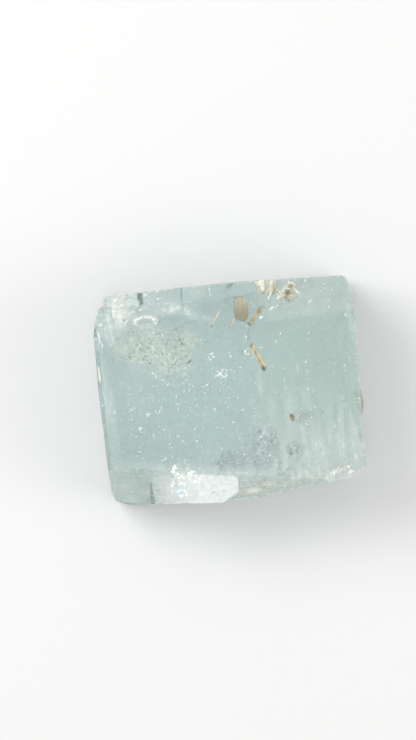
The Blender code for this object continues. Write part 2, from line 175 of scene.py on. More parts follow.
DARK_MARKS = [
    (-17.3, 16.0, 0.3, 0.18, 0, 0.5), (-15.6, 16.9, 0.5, 0.7, 20, 0.24), (-19.4, 15.6, 0.3, 0.8, 0, 0.22),
    (13.0, 16.7, 0.9, 1.0, 0, 0.34), (14.9, 16.5, 0.35, 0.9, 0, 0.5), (9.4, 17.1, 0.22, 0.5, 0, 0.5),
    (1.0, 16.4, 0.7, 1.5, 0, 0.22), (0.7, 15.4, 0.5, 0.8, 0, 0.28), (-17.9, 10.2, 0.55, 0.13, 15, 0.65),
    (-16.5, 13.3, 0.25, 0.17, 0, 0.85), (-11.6, 10.5, 0.32, 0.14, 0, 0.8),
    (-11.0, 10.5, 0.22, 0.14, 0, 0.7), (-12.8, 8.4, 0.3, 0.26, 0, 0.6), (-16.1, 7.1, 0.3, 0.24, 0, 0.75),
    (-13.3, 6.5, 0.25, 0.26, 0, 0.65), (-6.3, 5.6, 0.65, 0.25, 35, 0.9), (-7.7, 6.3, 0.45, 0.2, 0, 0.6),
    (-8.1, 11.1, 0.28, 0.22, 0, 0.6), (-9.4, 8.0, 0.3, 0.16, 0, 0.5), (2.45, 6.3, 0.3, 0.6, 0, 0.42),
    (3.9, 10.1, 0.11, 0.6, -35, 0.6), (3.55, 8.9, 0.1, 0.8, 2, 0.6), (-1.6, -11.8, 3.2, 1.7, 10, 0.20),
    (11.4, -5.3, 1.1, 0.8, 0, 0.40), (12.3, -4.7, 0.45, 0.2, 10, 0.7), (10.9, -5.9, 0.3, 0.22, 0, 0.6),
    (-17.0, -12.9, 2.2, 1.0, -20, 0.20), (20.7, -9.3, 0.28, 0.9, 5, 0.45), (4.3, -15.2, 0.7, 0.8, 0, 0.36),
    (14.2, -14.4, 0.8, 0.8, 0, 0.32), (17.1, -13.7, 0.6, 0.6, 0, 0.26), (13.1, -1.4, 0.1, 0.6, 0, 0.7),
    (-4.3, -16.4, 0.5, 0.12, 30, 0.5), (6.15, -8.6, 0.22, 0.45, 0, 0.8), (6.75, -8.1, 0.2, 0.25, 0, 0.65),
    (4.15, -9.9, 0.3, 0.2, 20, 0.65), (4.4, -8.1, 0.4, 0.14, 10, 0.6), (5.3, -10.3, 0.2, 0.4, 20, 0.65),
    (3.1, -11.0, 0.35, 0.28, 0, 0.7), (3.4, -12.3, 0.7, 0.18, -8, 0.65), (4.9, -13.0, 0.4, 0.3, 40, 0.55),
    (8.9, -11.1, 0.22, 0.28, 0, 0.8), (9.0, -10.5, 0.35, 0.16, 60, 0.7),
    (10.1, -10.4, 0.45, 0.14, 20, 0.7), (8.7, -9.8, 0.2, 0.3, 0, 0.55), (11.1, -10.0, 0.4, 0.16, 0, 0.5),
    (1.7, -10.9, 0.25, 0.2, 0, 0.55), (2.9, -11.8, 0.3, 0.2, 0, 0.65), (7.2, -12.5, 0.4, 0.2, 0, 0.5),
    (-8.8, -11.7, 0.5, 0.22, 0, 0.5),
]

# Bright specks: x, y, size.
TOP_DOTS = [(-2.05, 17.3, 0.24), (-2.05, 16.78, 0.19), (-2.0, 16.28, 0.21)]
SPECKS = [
    (-2.56, 6.5, 0.2), (-2.9, 5.6, 0.22), (-1.02, 3.8, 0.26), (-1.67, 3.25, 0.3), (-0.97, 2.66, 0.3),
    (-2.24, 2.85, 0.2), (-1.4, 3.0, 0.26), (-0.6, 3.1, 0.22), (-0.59, 2.66, 0.24), (-3.86, 1.48, 0.24),
    (-4.3, 1.2, 0.14), (-6.78, 0.83, 0.2), (-6.62, 1.8, 0.16), (-6.19, 1.54, 0.14), (-7.41, 3.64, 0.16),
    (-10.36, 2.05, 0.18), (-10.1, 2.3, 0.12), (-9.03, 0.05, 0.22), (-8.88, -1.31, 0.18),
    (-8.37, -1.19, 0.14), (-12.56, 4.17, 0.22), (-12.04, 3.48, 0.18), (-11.04, 2.86, 0.16),
    (-13.9, 4.69, 0.12), (0.8, 3.17, 0.18), (0.36, 3.6, 0.16), (1.97, 3.93, 0.2), (0.4, 5.88, 0.2),
    (5.53, 6.85, 0.12), (-19.44, -1.79, 0.2), (-16.6, -1.54, 0.26), (-16.16, -1.25, 0.14),
    (-14.8, -0.21, 0.13), (-12.68, -2.1, 0.16), (-12.02, -2.19, 0.28), (-13.95, -2.44, 0.16),
    (-14.07, -2.84, 0.24), (-13.61, -2.39, 0.16), (-16.69, -3.08, 0.16), (-15.46, -4.62, 0.26),
    (-15.6, -5.0, 0.16), (-15.28, -5.39, 0.12), (-11.51, -5.3, 0.24), (-13.3, -6.06, 0.2),
    (-9.34, -6.57, 0.2), (-8.59, -7.46, 0.18), (-6.28, -7.55, 0.22), (-10.76, -7.6, 0.18),
    (-4.31, -2.09, 0.14), (-2.9, -2.58, 0.26), (-7.39, -3.18, 0.12), (-0.06, -5.06, 0.18),
    (-2.72, -5.66, 0.12), (-5.11, -5.53, 0.12), (-2.28, -9.17, 0.18), (-5.38, -9.56, 0.16),
    (-4.64, -9.63, 0.16), (-11.72, -10.09, 0.2), (-16.44, -9.21, 0.13), (-15.4, -9.63, 0.12),
    (5.55, -11.0, 0.26), (4.25, -7.8, 0.24), (4.7, -7.2, 0.18), (6.3, -8.8, 0.18), (1.34, -10.5, 0.2),
    (2.42, -11.6, 0.2), (9.81, -10.1, 0.18), (3.8, -10.0, 0.16), (4.9, -8.8, 0.16), (12.0, -6.4, 0.2),
    (10.8, -4.8, 0.16), (2.7, -16.8, 0.3), (7.6, -16.3, 0.24), (18.25, -13.9, 0.24), (18.4, -14.7, 0.24),
    (15.8, -14.8, 0.26), (20.9, -2.9, 0.2), (14.2, 13.7, 0.26), (6.0, 11.8, 0.26), (-10.7, 16.4, 0.22),
    (-11.9, 10.9, 0.22), (-12.1, 8.27, 0.26), (-4.25, 9.0, 0.16), (-21.3, -0.4, 0.22),
    (-20.57, -13.7, 0.2), (-17.8, -15.1, 0.24),
]
SUGAR = [
    (-10.3, -11.6, 0.3), (-10.6, -12.3, 0.34), (-10.1, -12.9, 0.32), (-9.4, -13.2, 0.28),
    (-9.0, -13.5, 0.2), (-10.8, -14.2, 0.28), (-11.0, -14.6, 0.24), (-9.6, -14.3, 0.22),
    (-9.8, -13.9, 0.16), (-8.9, -14.6, 0.22), (-10.2, -15.8, 0.2), (-9.4, -16.4, 0.32), (-8.8, -16.2, 0.3),
    (-9.9, -16.3, 0.2), (-7.9, -13.0, 0.34), (-7.5, -12.6, 0.26), (-7.9, -13.7, 0.26), (-7.1, -14.4, 0.34),
    (-6.5, -13.8, 0.3), (-6.6, -14.3, 0.28), (-7.0, -13.3, 0.24), (-8.4, -15.2, 0.16),
    (-11.1, -15.8, 0.18), (-9.0, -15.7, 0.2),
]
PLATE_OUTLINE = [
    (1.92, 15.29), (2.42, 15.63), (3.01, 15.66), (3.49, 15.32), (3.85, 14.62), (4.0, 13.42), (3.94, 12.24),
    (3.77, 11.75), (3.22, 11.29), (2.81, 11.41), (2.33, 11.71), (1.82, 11.71), (1.67, 12.44),
    (1.69, 13.62), (1.75, 14.55),
]
FLECK_OUTLINE = [(9.15, -4.3), (9.7, -4.3), (10.1, -4.8), (10.1, -5.5), (9.7, -5.85), (9.25, -5.1)]
BOOK_OUTLINE = [
    (20.7, -1.4), (21.2, -0.95), (21.55, -1.7), (21.75, -2.6), (21.8, -3.6), (21.75, -4.5), (21.55, -5.3),
    (21.2, -6.0), (20.7, -5.4),
]
CREAM_FLAKE_OUTLINE = [
    (-21.35, 6.9), (-21.68, 5.9), (-21.74, 4.8), (-21.66, 3.8), (-21.4, 2.9), (-21.15, 3.6), (-21.2, 5.6),
]
# Albite blades: root x, root y, direction, length, width, tone (0 white, 1 olive brown).
LEFT_SHARDS = [
    (6.45, 17.7, -79, 1.5, 1.9, 0.0), (5.7, 17.8, -69, 1.6, 0.6, 0.25), (6.1, 16.9, -73, 1.2, 0.9, 0.44),
    (6.8, 16.9, -100, 0.9, 0.9, 0.12), (7.8, 17.8, -99, 2.1, 1.3, 0.26),
    (8.4, 17.7, -102, 2.3, 0.95, 0.10), (7.7, 16.4, -95, 1.9, 0.75, 0.03),
    (7.0, 16.6, -78, 1.2, 0.45, 0.05), (8.7, 16.7, -103, 1.2, 0.75, 0.56),
    (8.95, 17.6, -97, 1.3, 0.6, 0.38), (7.3, 17.0, -97, 1.2, 0.6, 0.34), (8.0, 15.8, -115, 0.9, 0.5, 0.16),
    (6.6, 17.5, -88, 0.9, 0.9, 0.0), (7.3, 17.6, -88, 1.2, 0.7, 0.45), (8.1, 16.9, -80, 1.0, 0.8, 0.2),
]
RIGHT_SHARDS = [
    (10.3, 16.2, -132, 2.2, 0.8, 0.14), (10.1, 15.3, -153, 1.3, 0.7, 0.0),
    (9.0, 16.1, -36, 1.1, 0.6, 0.30), (10.6, 15.3, 52, 1.8, 1.2, 0.66), (10.9, 15.4, 68, 1.6, 0.9, 0.56),
    (10.45, 15.35, 39, 0.7, 0.7, 0.92), (11.3, 15.4, 60, 1.3, 0.9, 0.46), (10.5, 16.5, 31, 1.5, 0.7, 0.20),
    (11.0, 17.1, -17, 1.1, 0.7, 0.12), (12.0, 16.7, -72, 1.6, 0.5, 0.16),
    (12.0, 15.9, -49, 1.1, 0.55, 0.0), (10.3, 14.8, -54, 0.9, 0.6, 0.62),
    (10.8, 15.0, -49, 1.0, 0.7, 0.38), (9.8, 15.9, 30, 0.9, 0.7, 0.24), (9.4, 15.5, 19, 1.0, 0.8, 0.16),
    (8.9, 15.4, -24, 0.8, 0.5, 0.25), (11.5, 16.8, 40, 0.6, 0.6, 0.3), (11.8, 16.4, -63, 0.8, 0.6, 0.28),
    (9.6, 15.9, -60, 1.2, 0.9, 0.36), (10.2, 16.4, -20, 1.2, 0.9, 0.30), (11.2, 15.0, -20, 0.9, 0.7, 0.34),
]


# Geometry helpers.
def direction(azimuth, tilt):
    level = math.cos(math.radians(tilt))
    turn = math.radians(azimuth)
    return Vector((level * math.cos(turn), level * math.sin(turn), math.sin(math.radians(tilt))))


def plane_height(face, x, y):
    azimuth, tilt, distance = face
    normal = direction(azimuth, tilt)
    return HALF + (distance - normal.x * x - normal.y * y) / normal.z


def inside_distance(outline, x, y):
    """Distance to the outline, positive inside it and negative outside."""
    nearest = np.full(np.shape(x), 1e9)
    inside = np.zeros(np.shape(x), bool)
    for (ax, ay), (bx, by) in zip(outline, outline[1:] + outline[:1]):
        across, along = bx - ax, by - ay
        share = np.clip(((x - ax) * across + (y - ay) * along) / (across**2 + along**2), 0, 1)
        nearest = np.minimum(nearest, np.hypot(x - ax - share * across, y - ay - share * along))
        crosses = (ay > y) != (by > y)
        inside ^= crosses & (x < (bx - ax) * (y - ay) / (by - ay + 1e-12) + ax)
    return np.where(inside, nearest, -nearest)


def smooth(value, low, high):
    share = np.clip((value - low) / (high - low), 0, 1)
    return share * share * (3 - 2 * share)


def grain(x, y, size, seed=0.0, stretch=1.0):
    """Smooth noise from -1 to 1 over the points x, y, with bumps as wide as SIZE."""
    return np.array([noise.noise((u / size, v / (size * stretch), seed)) for u, v in zip(x, y)])


def bowl(x, y, middle, radii, turn=0.0):
    """1 in the middle of an ellipse, falling to 0 at its edge and below 0 outside."""
    a = math.radians(turn)
    dx, dy = x - middle[0], y - middle[1]
    u = (dx * math.cos(a) + dy * math.sin(a)) / radii[0]
    v = (-dx * math.sin(a) + dy * math.cos(a)) / radii[1]
    return 1 - np.hypot(u, v)


def slot_depth(x, y, left, right, low, high, wall=0.12):
    """1 inside an upright slot between the given sides, 0 outside it."""
    across = smooth(x, left - wall, left) * (1 - smooth(x, right, right + wall))
    return across * smooth(y, low - wall, low) * (1 - smooth(y, high, high + wall))


def dabs(x, y, rows, grow=0.0):
    """The strongest of several soft ellipses over each point, each wider by GROW all round."""
    best = np.zeros(len(x))
    for middle_x, middle_y, half_width, half_height, turn, strength in rows:
        reach = 1 - bowl(x, y, (middle_x, middle_y), (half_width + grow, half_height + grow), turn)
        best = np.maximum(best, strength * np.exp(-1.5 * reach**2))
    return best


def wander(x, y, seed, amount=0.3):
    """The points moved about a little, so that soft marks come out ragged."""
    shift_x = 0.5 * amount * grain(x, y, 1.2, seed) + amount * grain(x, y, 0.35, seed + 1)
    shift_y = 0.5 * amount * grain(x, y, 1.2, seed + 2) + amount * grain(x, y, 0.35, seed + 3)
    return x + shift_x, y + shift_y


def ring(x, y, middle, radius, width):
    return np.exp(-(((np.hypot(x - middle[0], y - middle[1]) - radius) / width) ** 2))


def rim_distance(x, y):
    """How far the points lie inside the crystal's outline."""
    return face_gaps(np.column_stack([x, y, np.full(len(x), HALF)]), OTHER_FACES).min(axis=0)


def soft_min(first, second, blend):
    """The lower of two surfaces, with their meeting edge rounded over BLEND."""
    share = np.clip(0.5 + 0.5 * (second - first) / blend, 0, 1)
    return second * (1 - share) + first * share - blend * share * (1 - share)


def activate(piece):
    bpy.ops.object.select_all(action="DESELECT")
    piece.select_set(True)
    bpy.context.view_layer.objects.active = piece


@contextmanager
def editing(piece, pick="SELECT"):
    """Edit mode on one piece, from start to end of a with block, with all of it selected or none."""
    activate(piece)
    bpy.ops.object.mode_set(mode="EDIT")
    bpy.ops.mesh.select_all(action=pick)
    yield
    bpy.ops.object.mode_set(mode="OBJECT")


def points_of(piece):
    flat = np.empty(len(piece.data.vertices) * 3)
    piece.data.vertices.foreach_get("co", flat)
    return flat.reshape(-1, 3) / MM


def set_points(piece, points):
    piece.data.vertices.foreach_set("co", (points * MM).ravel())
    piece.data.update()


def store(piece, name, values):
    """Keeps one value a point, for the materials to read."""
    layer = piece.data.attributes.get(name) or piece.data.attributes.new(name, "FLOAT", "POINT")
    layer.data.foreach_set("value", values.astype(np.float32))


def give_tone(piece, tone):
    store(piece, "tone", np.full(len(piece.data.vertices), tone))


def finish_piece(piece, name, surface, stands_for=()):
    piece.name = name
    piece.data.name = name
    piece.data.materials.clear()
    piece.data.materials.append(surface)
    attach(piece, "root")
    if stands_for:
        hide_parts(*stands_for)
    return piece


# The crystal's body.
def etched_gap(x, y):
    """Distance to the ragged edge of the etched hollow, positive inside it."""
    return inside_distance(ETCHED_OUTLINE, x, y) + 0.9 * grain(x, y, 1.6, 3.0) + 0.6 * grain(x, y, 0.6, 3.5)


def etched_share(x, y):
    """How etched the front is: 1 inside the ragged hollow, 0 outside."""
    return smooth(etched_gap(x, y), -0.7, 1.5)


def corner_share(x, y):
    """The broken, crumbly ground beside the top left corner."""
    ragged = inside_distance(CORNER_OUTLINE, x, y) + 0.7 * grain(x, y, 1.1, 8.0)
    return smooth(ragged, -0.7, 0.7)


def arc_share(x, y):
    """The curved lip of a shell-shaped chip above the etched hollow. It is brighter along the stretch
    marked lit, a painted highlight where the lip catches the light.
    """
    dx, dy = (x - ARC_MIDDLE[0]) / ARC_RADII[0], (y - ARC_MIDDLE[1]) / ARC_RADII[1]
    turn = np.degrees(np.arctan2(dy, dx))
    lit = 0.35 + 0.65 * smooth(turn, -45, 0) * (1 - smooth(turn, 185, 215))
    lit = np.where(turn < -90, 0.35 + 0.65 * smooth(-turn, 150, 178), lit)
    reach = np.hypot(dx, dy)
    return lit * np.exp(-(((reach - 1) / (0.18 + 0.12 * np.abs(dy))) ** 2))


def ledge_share(x, y):
    """The frosted ledge, fading out to the left."""
    shape = inside_distance(LEDGE_OUTLINE, x, y) + 0.10 * grain(x, y, 0.6, 7.0)
    return smooth(shape, -0.05, 0.25) * smooth(x, -11.0, -5.5)


def slot_share(x, y):
    """The narrow notches in the two end bands."""
    wide = slot_depth(x, y, -13.95, -13.2, 16.35, 19, 0.07)
    wide_foot = slot_depth(x, y, -13.6, -13.2, 15.6, 19, 0.07)
    narrow = 0.45 * slot_depth(x + 0.06, y, -6.72, -6.6, 14.9, 19, 0.08)
    middle = 0.5 * smooth(bowl(x, y, (1.35, 17.4), (0.85, 0.35), 35), 0, 0.3)
    right = 0.4 * slot_depth(x, y, 13.6, 15.2, 16.8, 19, 0.4)
    foot_width = 0.09 + 0.05 * np.clip(-14 - y, 0, 4)
    foot = slot_depth(x + 0.12 * (y + 16) / 4, y, -14.5 - foot_width, -14.5 + foot_width, -19, -13.9)
    return np.maximum.reduce([wide, wide_foot, narrow, middle, right, foot])


def mottle_share(x, y):
    """The clouded, pitted patches low on the front."""
    patches = np.maximum.reduce([
        bowl(x, y, (4.4, -9.4), (3.4, 4.2), -15),
        bowl(x, y, (-1.2, -11.6), (3.6, 2.1), 10),
        bowl(x, y, (9.7, -10.6), (2.1, 1.7)),
        bowl(x, y, (11.5, -5.3), (1.7, 1.2), -20),
        0.8 * bowl(x, y, (8.0, -14.0), (2.4, 1.4)),
    ])
    return smooth(patches + 0.4 * grain(x, y, 0.9, 14.0), 0.05, 0.45)


def below_low_line(x, y):
    """How far the points lie below the line where the front's low band begins."""
    return -12.25 - 0.12 * (x + 10) - y


def dull_share(x, y):
    """The evenly clouded ground low on the left."""
    return smooth(below_low_line(x, y), -2.2, 1.2) * (1 - smooth(x, -18.5, -13.0))


def veil_share(x, y):
    """Soft whitish veils just under the front, with painted light among them: a highlight along the rim,
    lighter tilted bands at the top and bottom, and a lighter strip below the crease.
    """
    u, v = wander(x, y, 70.0, 0.3)
    soft = dabs(u, v, SOFT_MARKS)
    corner = 0.34 - 0.16 * smooth(y, 14.8, 16.8)
    corner = corner * smooth(inside_distance(CORNER_OUTLINE, u, v), -2.4, 1.0)
    ledge = (0.52 + 0.36 * grain(x, y, 0.7, 75.0)) * ledge_share(u * 0.25 + x * 0.75, v * 0.25 + y * 0.75)
    etched = (0.24 - 0.12 * smooth(x, -13, -7)) * smooth(inside_distance(ETCHED_OUTLINE, u, v), -1.6, 1.4)
    # Painted reflection: the tilted band at the top end is lightened in panes of random strength.
    top_line = 15.2 - 0.045 * (x + 13)
    panes = np.floor((x + 0.5 * grain(x, y, 6.0, 71.0)) / 1.6)
    pane = 0.5 + 0.5 * np.sin(panes * 12.9898)
    top_band_reflection = (0.06 + 0.34 * pane) * smooth(y - top_line, 0, 0.4) * (1 - smooth(x, -6.5, -2))
    # The low band is lightened: partly frost, partly a painted reflection of its tilt.
    inner = smooth(x, -17, -10) * (1 - smooth(x, -1, 3))
    low_band_frost_and_reflection = 0.36 + 0.24 * inner + 0.10 * grain(x, y, 2.2, 72.0, 1.5)
    low_band_frost_and_reflection = low_band_frost_and_reflection * smooth(below_low_line(x, y), -2.4, 1.8)
    # Painted light: the strip below the crease is lightened to even out the shade that the glass shows
    # there.
    below_crease_light = 0.24 * smooth(-13.84 - 0.14 * x - y, -0.2, 0.5) * (1 - smooth(x, -1, 3))
    silk = 0.5 + 1.2 * grain(x, y, 0.9, 74.0, 9.0)
    silk = 0.20 * np.clip(silk, 0, 1) * smooth(bowl(x, y, (12, -8), (12, 10)), 0, 0.4)
    steps = 0.12 * smooth(y - 10.4 - 0.05 * x, 0, 0.6) * smooth(x, 4, 8)
    # Painted highlight: a pale line along the crystal's outline, where its edges catch the light.
    rim_highlight = 0.36 * (1 - smooth(rim_distance(x, y), 0.1, 0.45)) * (0.8 + 0.5 * grain(x, y, 2.0, 73.0))
    mottled = 0.06 * mottle_share(x, y)
    lip = 0.45 * arc_share(u, v)
    dull = 0.62 * dull_share(x, y)
    layers = np.array([
        dull, below_crease_light, lip, soft, corner, ledge, etched, top_band_reflection, low_band_frost_and_reflection, steps, rim_highlight, mottled, silk,
    ])
    return 1 - np.prod(1 - np.clip(layers, 0, 1), axis=0)


def frost_share(x, y):
    """Crumbly white and cream frost: scratches, nicks, sugary patches and the curved lip of the chip, with
    a few painted highlights among the marks.
    """
    u, v = wander(x, y, 80.0, 0.14)
    marks = dabs(u, v, FROST_MARKS + CREAM_MARKS)
    marks = np.maximum(marks, 0.48 * ring(u, v, (-2.7, 6.1), 0.5, 0.16))
    marks = np.maximum(marks, 0.85 * ring(u, v, (3.35, 6.4), 0.47, 0.15) * (1 - 0.6 * smooth(x, 3.45, 3.7)))
    corner = corner_share(x, y) * (0.08 + 0.44 * grain(x, y, 0.9, 63.0, 2.0))
    ledge = 0.14 * ledge_share(x, y)
    arc = 0.85 * arc_share(u, v)
    etched = etched_share(x, y) * (0.16 + 0.20 * grain(x, y, 2.2, 67.0))
    return np.maximum.reduce([marks, corner, ledge, arc, etched])


def warmth(x, y):
    """How cream the bloom is."""
    cream = smooth(dabs(x, y, CREAM_MARKS), 0.02, 0.3)
    ringed = smooth(ring(x, y, (3.4, 6.4), 0.5, 0.2), 0.2, 0.5)
    etched = smooth(inside_distance(ETCHED_OUTLINE, x, y), -1.0, 0.6)
    broken = 0.35 * smooth(inside_distance(CORNER_OUTLINE, x, y), -2, 0.5)
    return np.maximum.reduce([cream, ringed, broken, 0.75 * etched, 0.6 * smooth(arc_share(x, y), 0, 0.2)])


def darkness(x, y):
    """Where the front is darker: dark marks and pits, a dark line along the etched hollow's edge, and
    painted shade in the slots and in the wedge beside the ledge's step.
    """
    u, v = wander(x, y, 90.0, 0.12)
    dark = dabs(u, v, DARK_MARKS, 0.07)
    paler = 0.38 * smooth(x, -8, -6) * smooth(-x, 2, 4) + 0.30 * smooth(-y, 5, 6)
    # Painted shade in the slots and in the wedge beside the ledge's step.
    slot_shade = (0.72 - paler) * slot_share(x, y)
    wedge_shade = 0.35 * smooth(inside_distance(DARK_WEDGE, x, y), -0.05, 0.1)
    brink = 0.42 * np.exp(-(((etched_gap(x, y) - 0.1) / 0.2) ** 2))
    brink *= smooth(grain(x, y, 1.8, 91.0), -0.25, 0.35)
    brink *= 0.35 + 0.65 * smooth(8.5 - 0.25 * x - y, 0, 3)
    pitted = np.maximum(0.34 * mottle_share(x, y), 0.16 * etched_share(x, y))
    return np.maximum.reduce([dark, slot_shade, wedge_shade, brink, pitted])


def front_relief(x, y):
    """Heights of the front surface with all that is raised on it or sunk in it."""
    names = [name for name in FRONT_FACES if not name.startswith("pyramid")]
    height = np.minimum.reduce([plane_height(FRONT_FACES[name], x, y) for name in names])
    top = plane_height(FRONT_FACES["pyramid_top_front"], x, y)
    height = soft_min(height, top, 0.05 + 1.1 * smooth(x, -5.5, 3.0))
    height = soft_min(height, plane_height(FRONT_FACES["pyramid_bottom_front"], x, y), 0.7)
    on_ledge = smooth(inside_distance(LEDGE_SHELF, x, y), 0, 0.05) * smooth(x, -15.0, -7.0)
    height += on_ledge * np.maximum(0, plane_height(LEDGE_TOP, x, y) - height)
    etched, corner, mottled = etched_share(x, y), corner_share(x, y), mottle_share(x, y)
    fine = grain(x, y, 0.3, 2.0)
    coarse = grain(x, y, 0.6, 1.0)
    broken = np.abs(grain(x, y, 1.1, 9.0)) + 0.6 * np.abs(grain(x, y, 0.5, 10.0))
    ridges = np.abs(grain(x, y, 0.42, 11.0, 0.7))
    height += etched * (0.04 * coarse + 0.12 * ridges - 0.08)
    height += corner * (0.45 * broken - 0.45)
    height += mottled * 0.05 * (coarse - np.abs(fine))
    height += 0.10 * arc_share(x, y) + 0.03 * ledge_share(x, y) * coarse
    height -= 0.8 * slot_share(x, y)
    height -= 0.06 * darkness(x, y)
    height += 0.015 * grain(x, y, 5.0, 5.0) + 0.004 * grain(x, y, 0.5, 6.0, 12.0)
    return height


def bare_flat(x, y):
    left, right = FRONT_FACES["front_left"], FRONT_FACES["front_right"]
    return np.minimum(plane_height(left, x, y), plane_height(right, x, y))


def snap_to_creases(x, y):
    """Moves the grid's points onto the edges between the front faces, so that those edges are crisp."""
    for name in ("pyramid_top_front", "bevel_left_front", "bevel_right_front"):
        normal = direction(*FRONT_FACES[name][:2])
        gap = (plane_height(FRONT_FACES[name], x, y) - bare_flat(x, y)) * normal.z
        if "bevel" in name:
            shift = gap / normal.x
            x = np.where(np.abs(shift) <= GRID_STEP / 2, x + shift, x)
        else:
            shift = gap / normal.y
            y = np.where(np.abs(shift) <= GRID_STEP / 2, y + shift, y)
    return x, y


def add_front_sheet():
    """A fine sheet in the shape of the whole front."""
    across, along = (round(size / GRID_STEP) for size in SHEET_SIZE)
    bpy.ops.mesh.primitive_grid_add(x_subdivisions=across, y_subdivisions=along, size=2 * MM)
    sheet = bpy.context.active_object
    points = points_of(sheet)
    x, y = snap_to_creases(points[:, 0] * across * GRID_STEP / 2, points[:, 1] * along * GRID_STEP / 2)
    set_points(sheet, np.column_stack([x, y, front_relief(x, y)]))
    return sheet


def close_into_block(sheet):
    """Closes the sheet downwards into a block."""
    with editing(sheet):
        bpy.ops.mesh.region_to_loop()
        bpy.ops.mesh.extrude_region_move(TRANSFORM_OT_translate={"value": (0, 0, -32 * MM)})
        bpy.ops.mesh.edge_face_add()
        bpy.ops.mesh.select_all(action="SELECT")
        bpy.ops.mesh.normals_make_consistent(inside=False)


def cut_flat_faces(block, faces):
    with editing(block):
        for azimuth, tilt, distance in faces.values():
            normal = direction(azimuth, tilt)
            spot = (Vector((0, 0, HALF)) + normal * distance) * MM
            bpy.ops.mesh.select_all(action="SELECT")
            bpy.ops.mesh.bisect(
                plane_co=spot, plane_no=normal, use_fill=True, clear_outer=True, threshold=CUT_TOLERANCE
            )


def add_side_block():
    """The flat sides, ends and back, cut from a block that stands taller than the front."""
    bpy.ops.mesh.primitive_cube_add(size=MM, location=(0, 0, HALF * MM))
    block = bpy.context.active_object
    bpy.ops.transform.resize(value=(60, 60, 24))
    bpy.ops.object.transform_apply(location=True, rotation=True, scale=True)
    cut_flat_faces(block, OTHER_FACES)
    return block


def face_gaps(points, faces):
    """How far each point lies inside each flat face."""
    gaps = []
    for azimuth, tilt, distance in faces.values():
        normal = np.array(direction(azimuth, tilt))
        gaps.append(distance - (points - (0, 0, HALF)) @ normal)
    return np.array(gaps)


def edge_distance(points, faces):
    """Distance of points on the surface to the nearest true edge; nearly parallel faces count as one."""
    families = {}
    for name, gap in zip(faces, np.abs(face_gaps(points, faces))):
        family = name.rsplit("_", 1)[0] if name.startswith(("end", "prism_left")) else name
        families[family] = np.minimum(families.get(family, gap), gap)
    return np.sort(np.array(list(families.values())), axis=0)[1]


def divide_sides(block):
    """Divides the block into small squares that can take the relief."""
    levels = ((0, -21.6, 21.6, SIDE_STEP), (1, -18.0, 18.0, SIDE_STEP), (2, 0.5, 20.4, SIDE_STEP / 2))
    with editing(block):
        for axis, start, end, step in levels:
            normal = Vector((0, 0, 0))
            normal[axis] = 1
            for number in range(int((end - start) / step) + 1):
                spot = normal * (start + step * number) * MM
                bpy.ops.mesh.bisect(plane_co=spot, plane_no=normal, threshold=CUT_TOLERANCE)
                bpy.ops.mesh.select_all(action="SELECT")


def growth_lines(y, z):
    return grain(z, y, 0.9, 21.0, 60.0) + 0.8 * grain(z, y, 2.3, 22.0, 40.0)


def shell_bowl(x, z, middle, radius):
    return np.clip(bowl(x, z, middle, (radius, radius * SHELL_FLATNESS)), 0, 1)


def shell_waves(dome, x, z):
    return np.sin(dome * 15 + 1.6 * grain(x, z, 1.8, 43.0))


def striation(x, y, z):
    """Depth of the growth lines that run along the c axis on the prism sides."""
    lines = growth_lines(y, z)
    ledges = smooth(grain(z, y, 2.8, 23.0, 7.0), 0.0, 0.03)
    ledges += smooth(grain(z, y, 4.0, 24.0, 5.0), 0.12, 0.15)
    return 0.22 * np.abs(lines) + 0.13 * ledges + 0.02 * grain(z, y, 0.7, 25.0, 3.0)


def top_steps(x, y, z):
    """Depth of the thin steps left in the growth of the top end."""
    field = grain(x, z, 4.5, 31.0, 0.7) + 0.25 * grain(x, z, 1.4, 33.0)
    steps = smooth(field, -0.22, -0.20) + smooth(field, -0.02, 0.0) + smooth(field, 0.2, 0.22)
    return 0.18 * steps + 0.05 * grain(x, z, 0.9, 32.0)


def bottom_break(x, y, z):
    """Depth of the shell-shaped breaks of the bottom end."""
    depth = 0.10 * np.abs(grain(x, z, 1.0, 41.0)) + 0.30 * smooth(grain(x, z, 5.0, 42.0), -0.1, 0.5)
    for middle, radius in BREAK_SHELLS:
        dome = shell_bowl(x, z, middle, radius)
        ripple = shell_waves(dome, x, z) * smooth(grain(x, z, 2.6, 44.0), -0.5, 0.5)
        depth = np.maximum(depth, 1.6 * dome * (1 - 0.4 * dome) + 0.08 * ripple * smooth(dome, 0, 0.1))
    return depth


def back_growth(x, y, z):
    """Depth of the low growth hillocks of the back."""
    field = grain(x, y, 6.0, 51.0, 2.0) + 0.3 * grain(x, y, 2.0, 53.0, 2.0)
    ripples = np.abs(grain(x, y, 1.2, 52.0, 6.0))
    return 0.09 * smooth(field, 0.0, 0.03) + 0.09 * smooth(field, 0.2, 0.23) + 0.04 * ripples


RELIEFS = {"prism": striation, "end_top": top_steps, "end_bottom": bottom_break, "back": back_growth}


def face_kind(name):
    """Which of the RELIEFS a face takes, or their number where it stays plain."""
    return next((number for number, kind in enumerate(RELIEFS) if name.startswith(kind)), len(RELIEFS))


def roughen_sides(body):
    """Sinks the natural relief into the sides, the ends and the back, and leaves their edges crisp."""
    points = points_of(body)
    gaps = np.abs(face_gaps(points, OTHER_FACES))
    own = np.argmin(gaps, axis=0)
    worn = edge_distance(points, {**FRONT_FACES, **OTHER_FACES})
    fade = smooth(worn, 0.0, 0.5) * (gaps.min(axis=0) < 1e-3)
    depths = list(RELIEFS.values())
    for number, (name, (azimuth, tilt, _)) in enumerate(OTHER_FACES.items()):
        mine = np.flatnonzero((own == number) & (fade > 0))
        if len(mine) and face_kind(name) < len(depths):
            sink = fade[mine] * depths[face_kind(name)](*points[mine].T)
            points[mine] -= sink[:, None] * np.array(direction(azimuth, tilt))
    set_points(body, points)


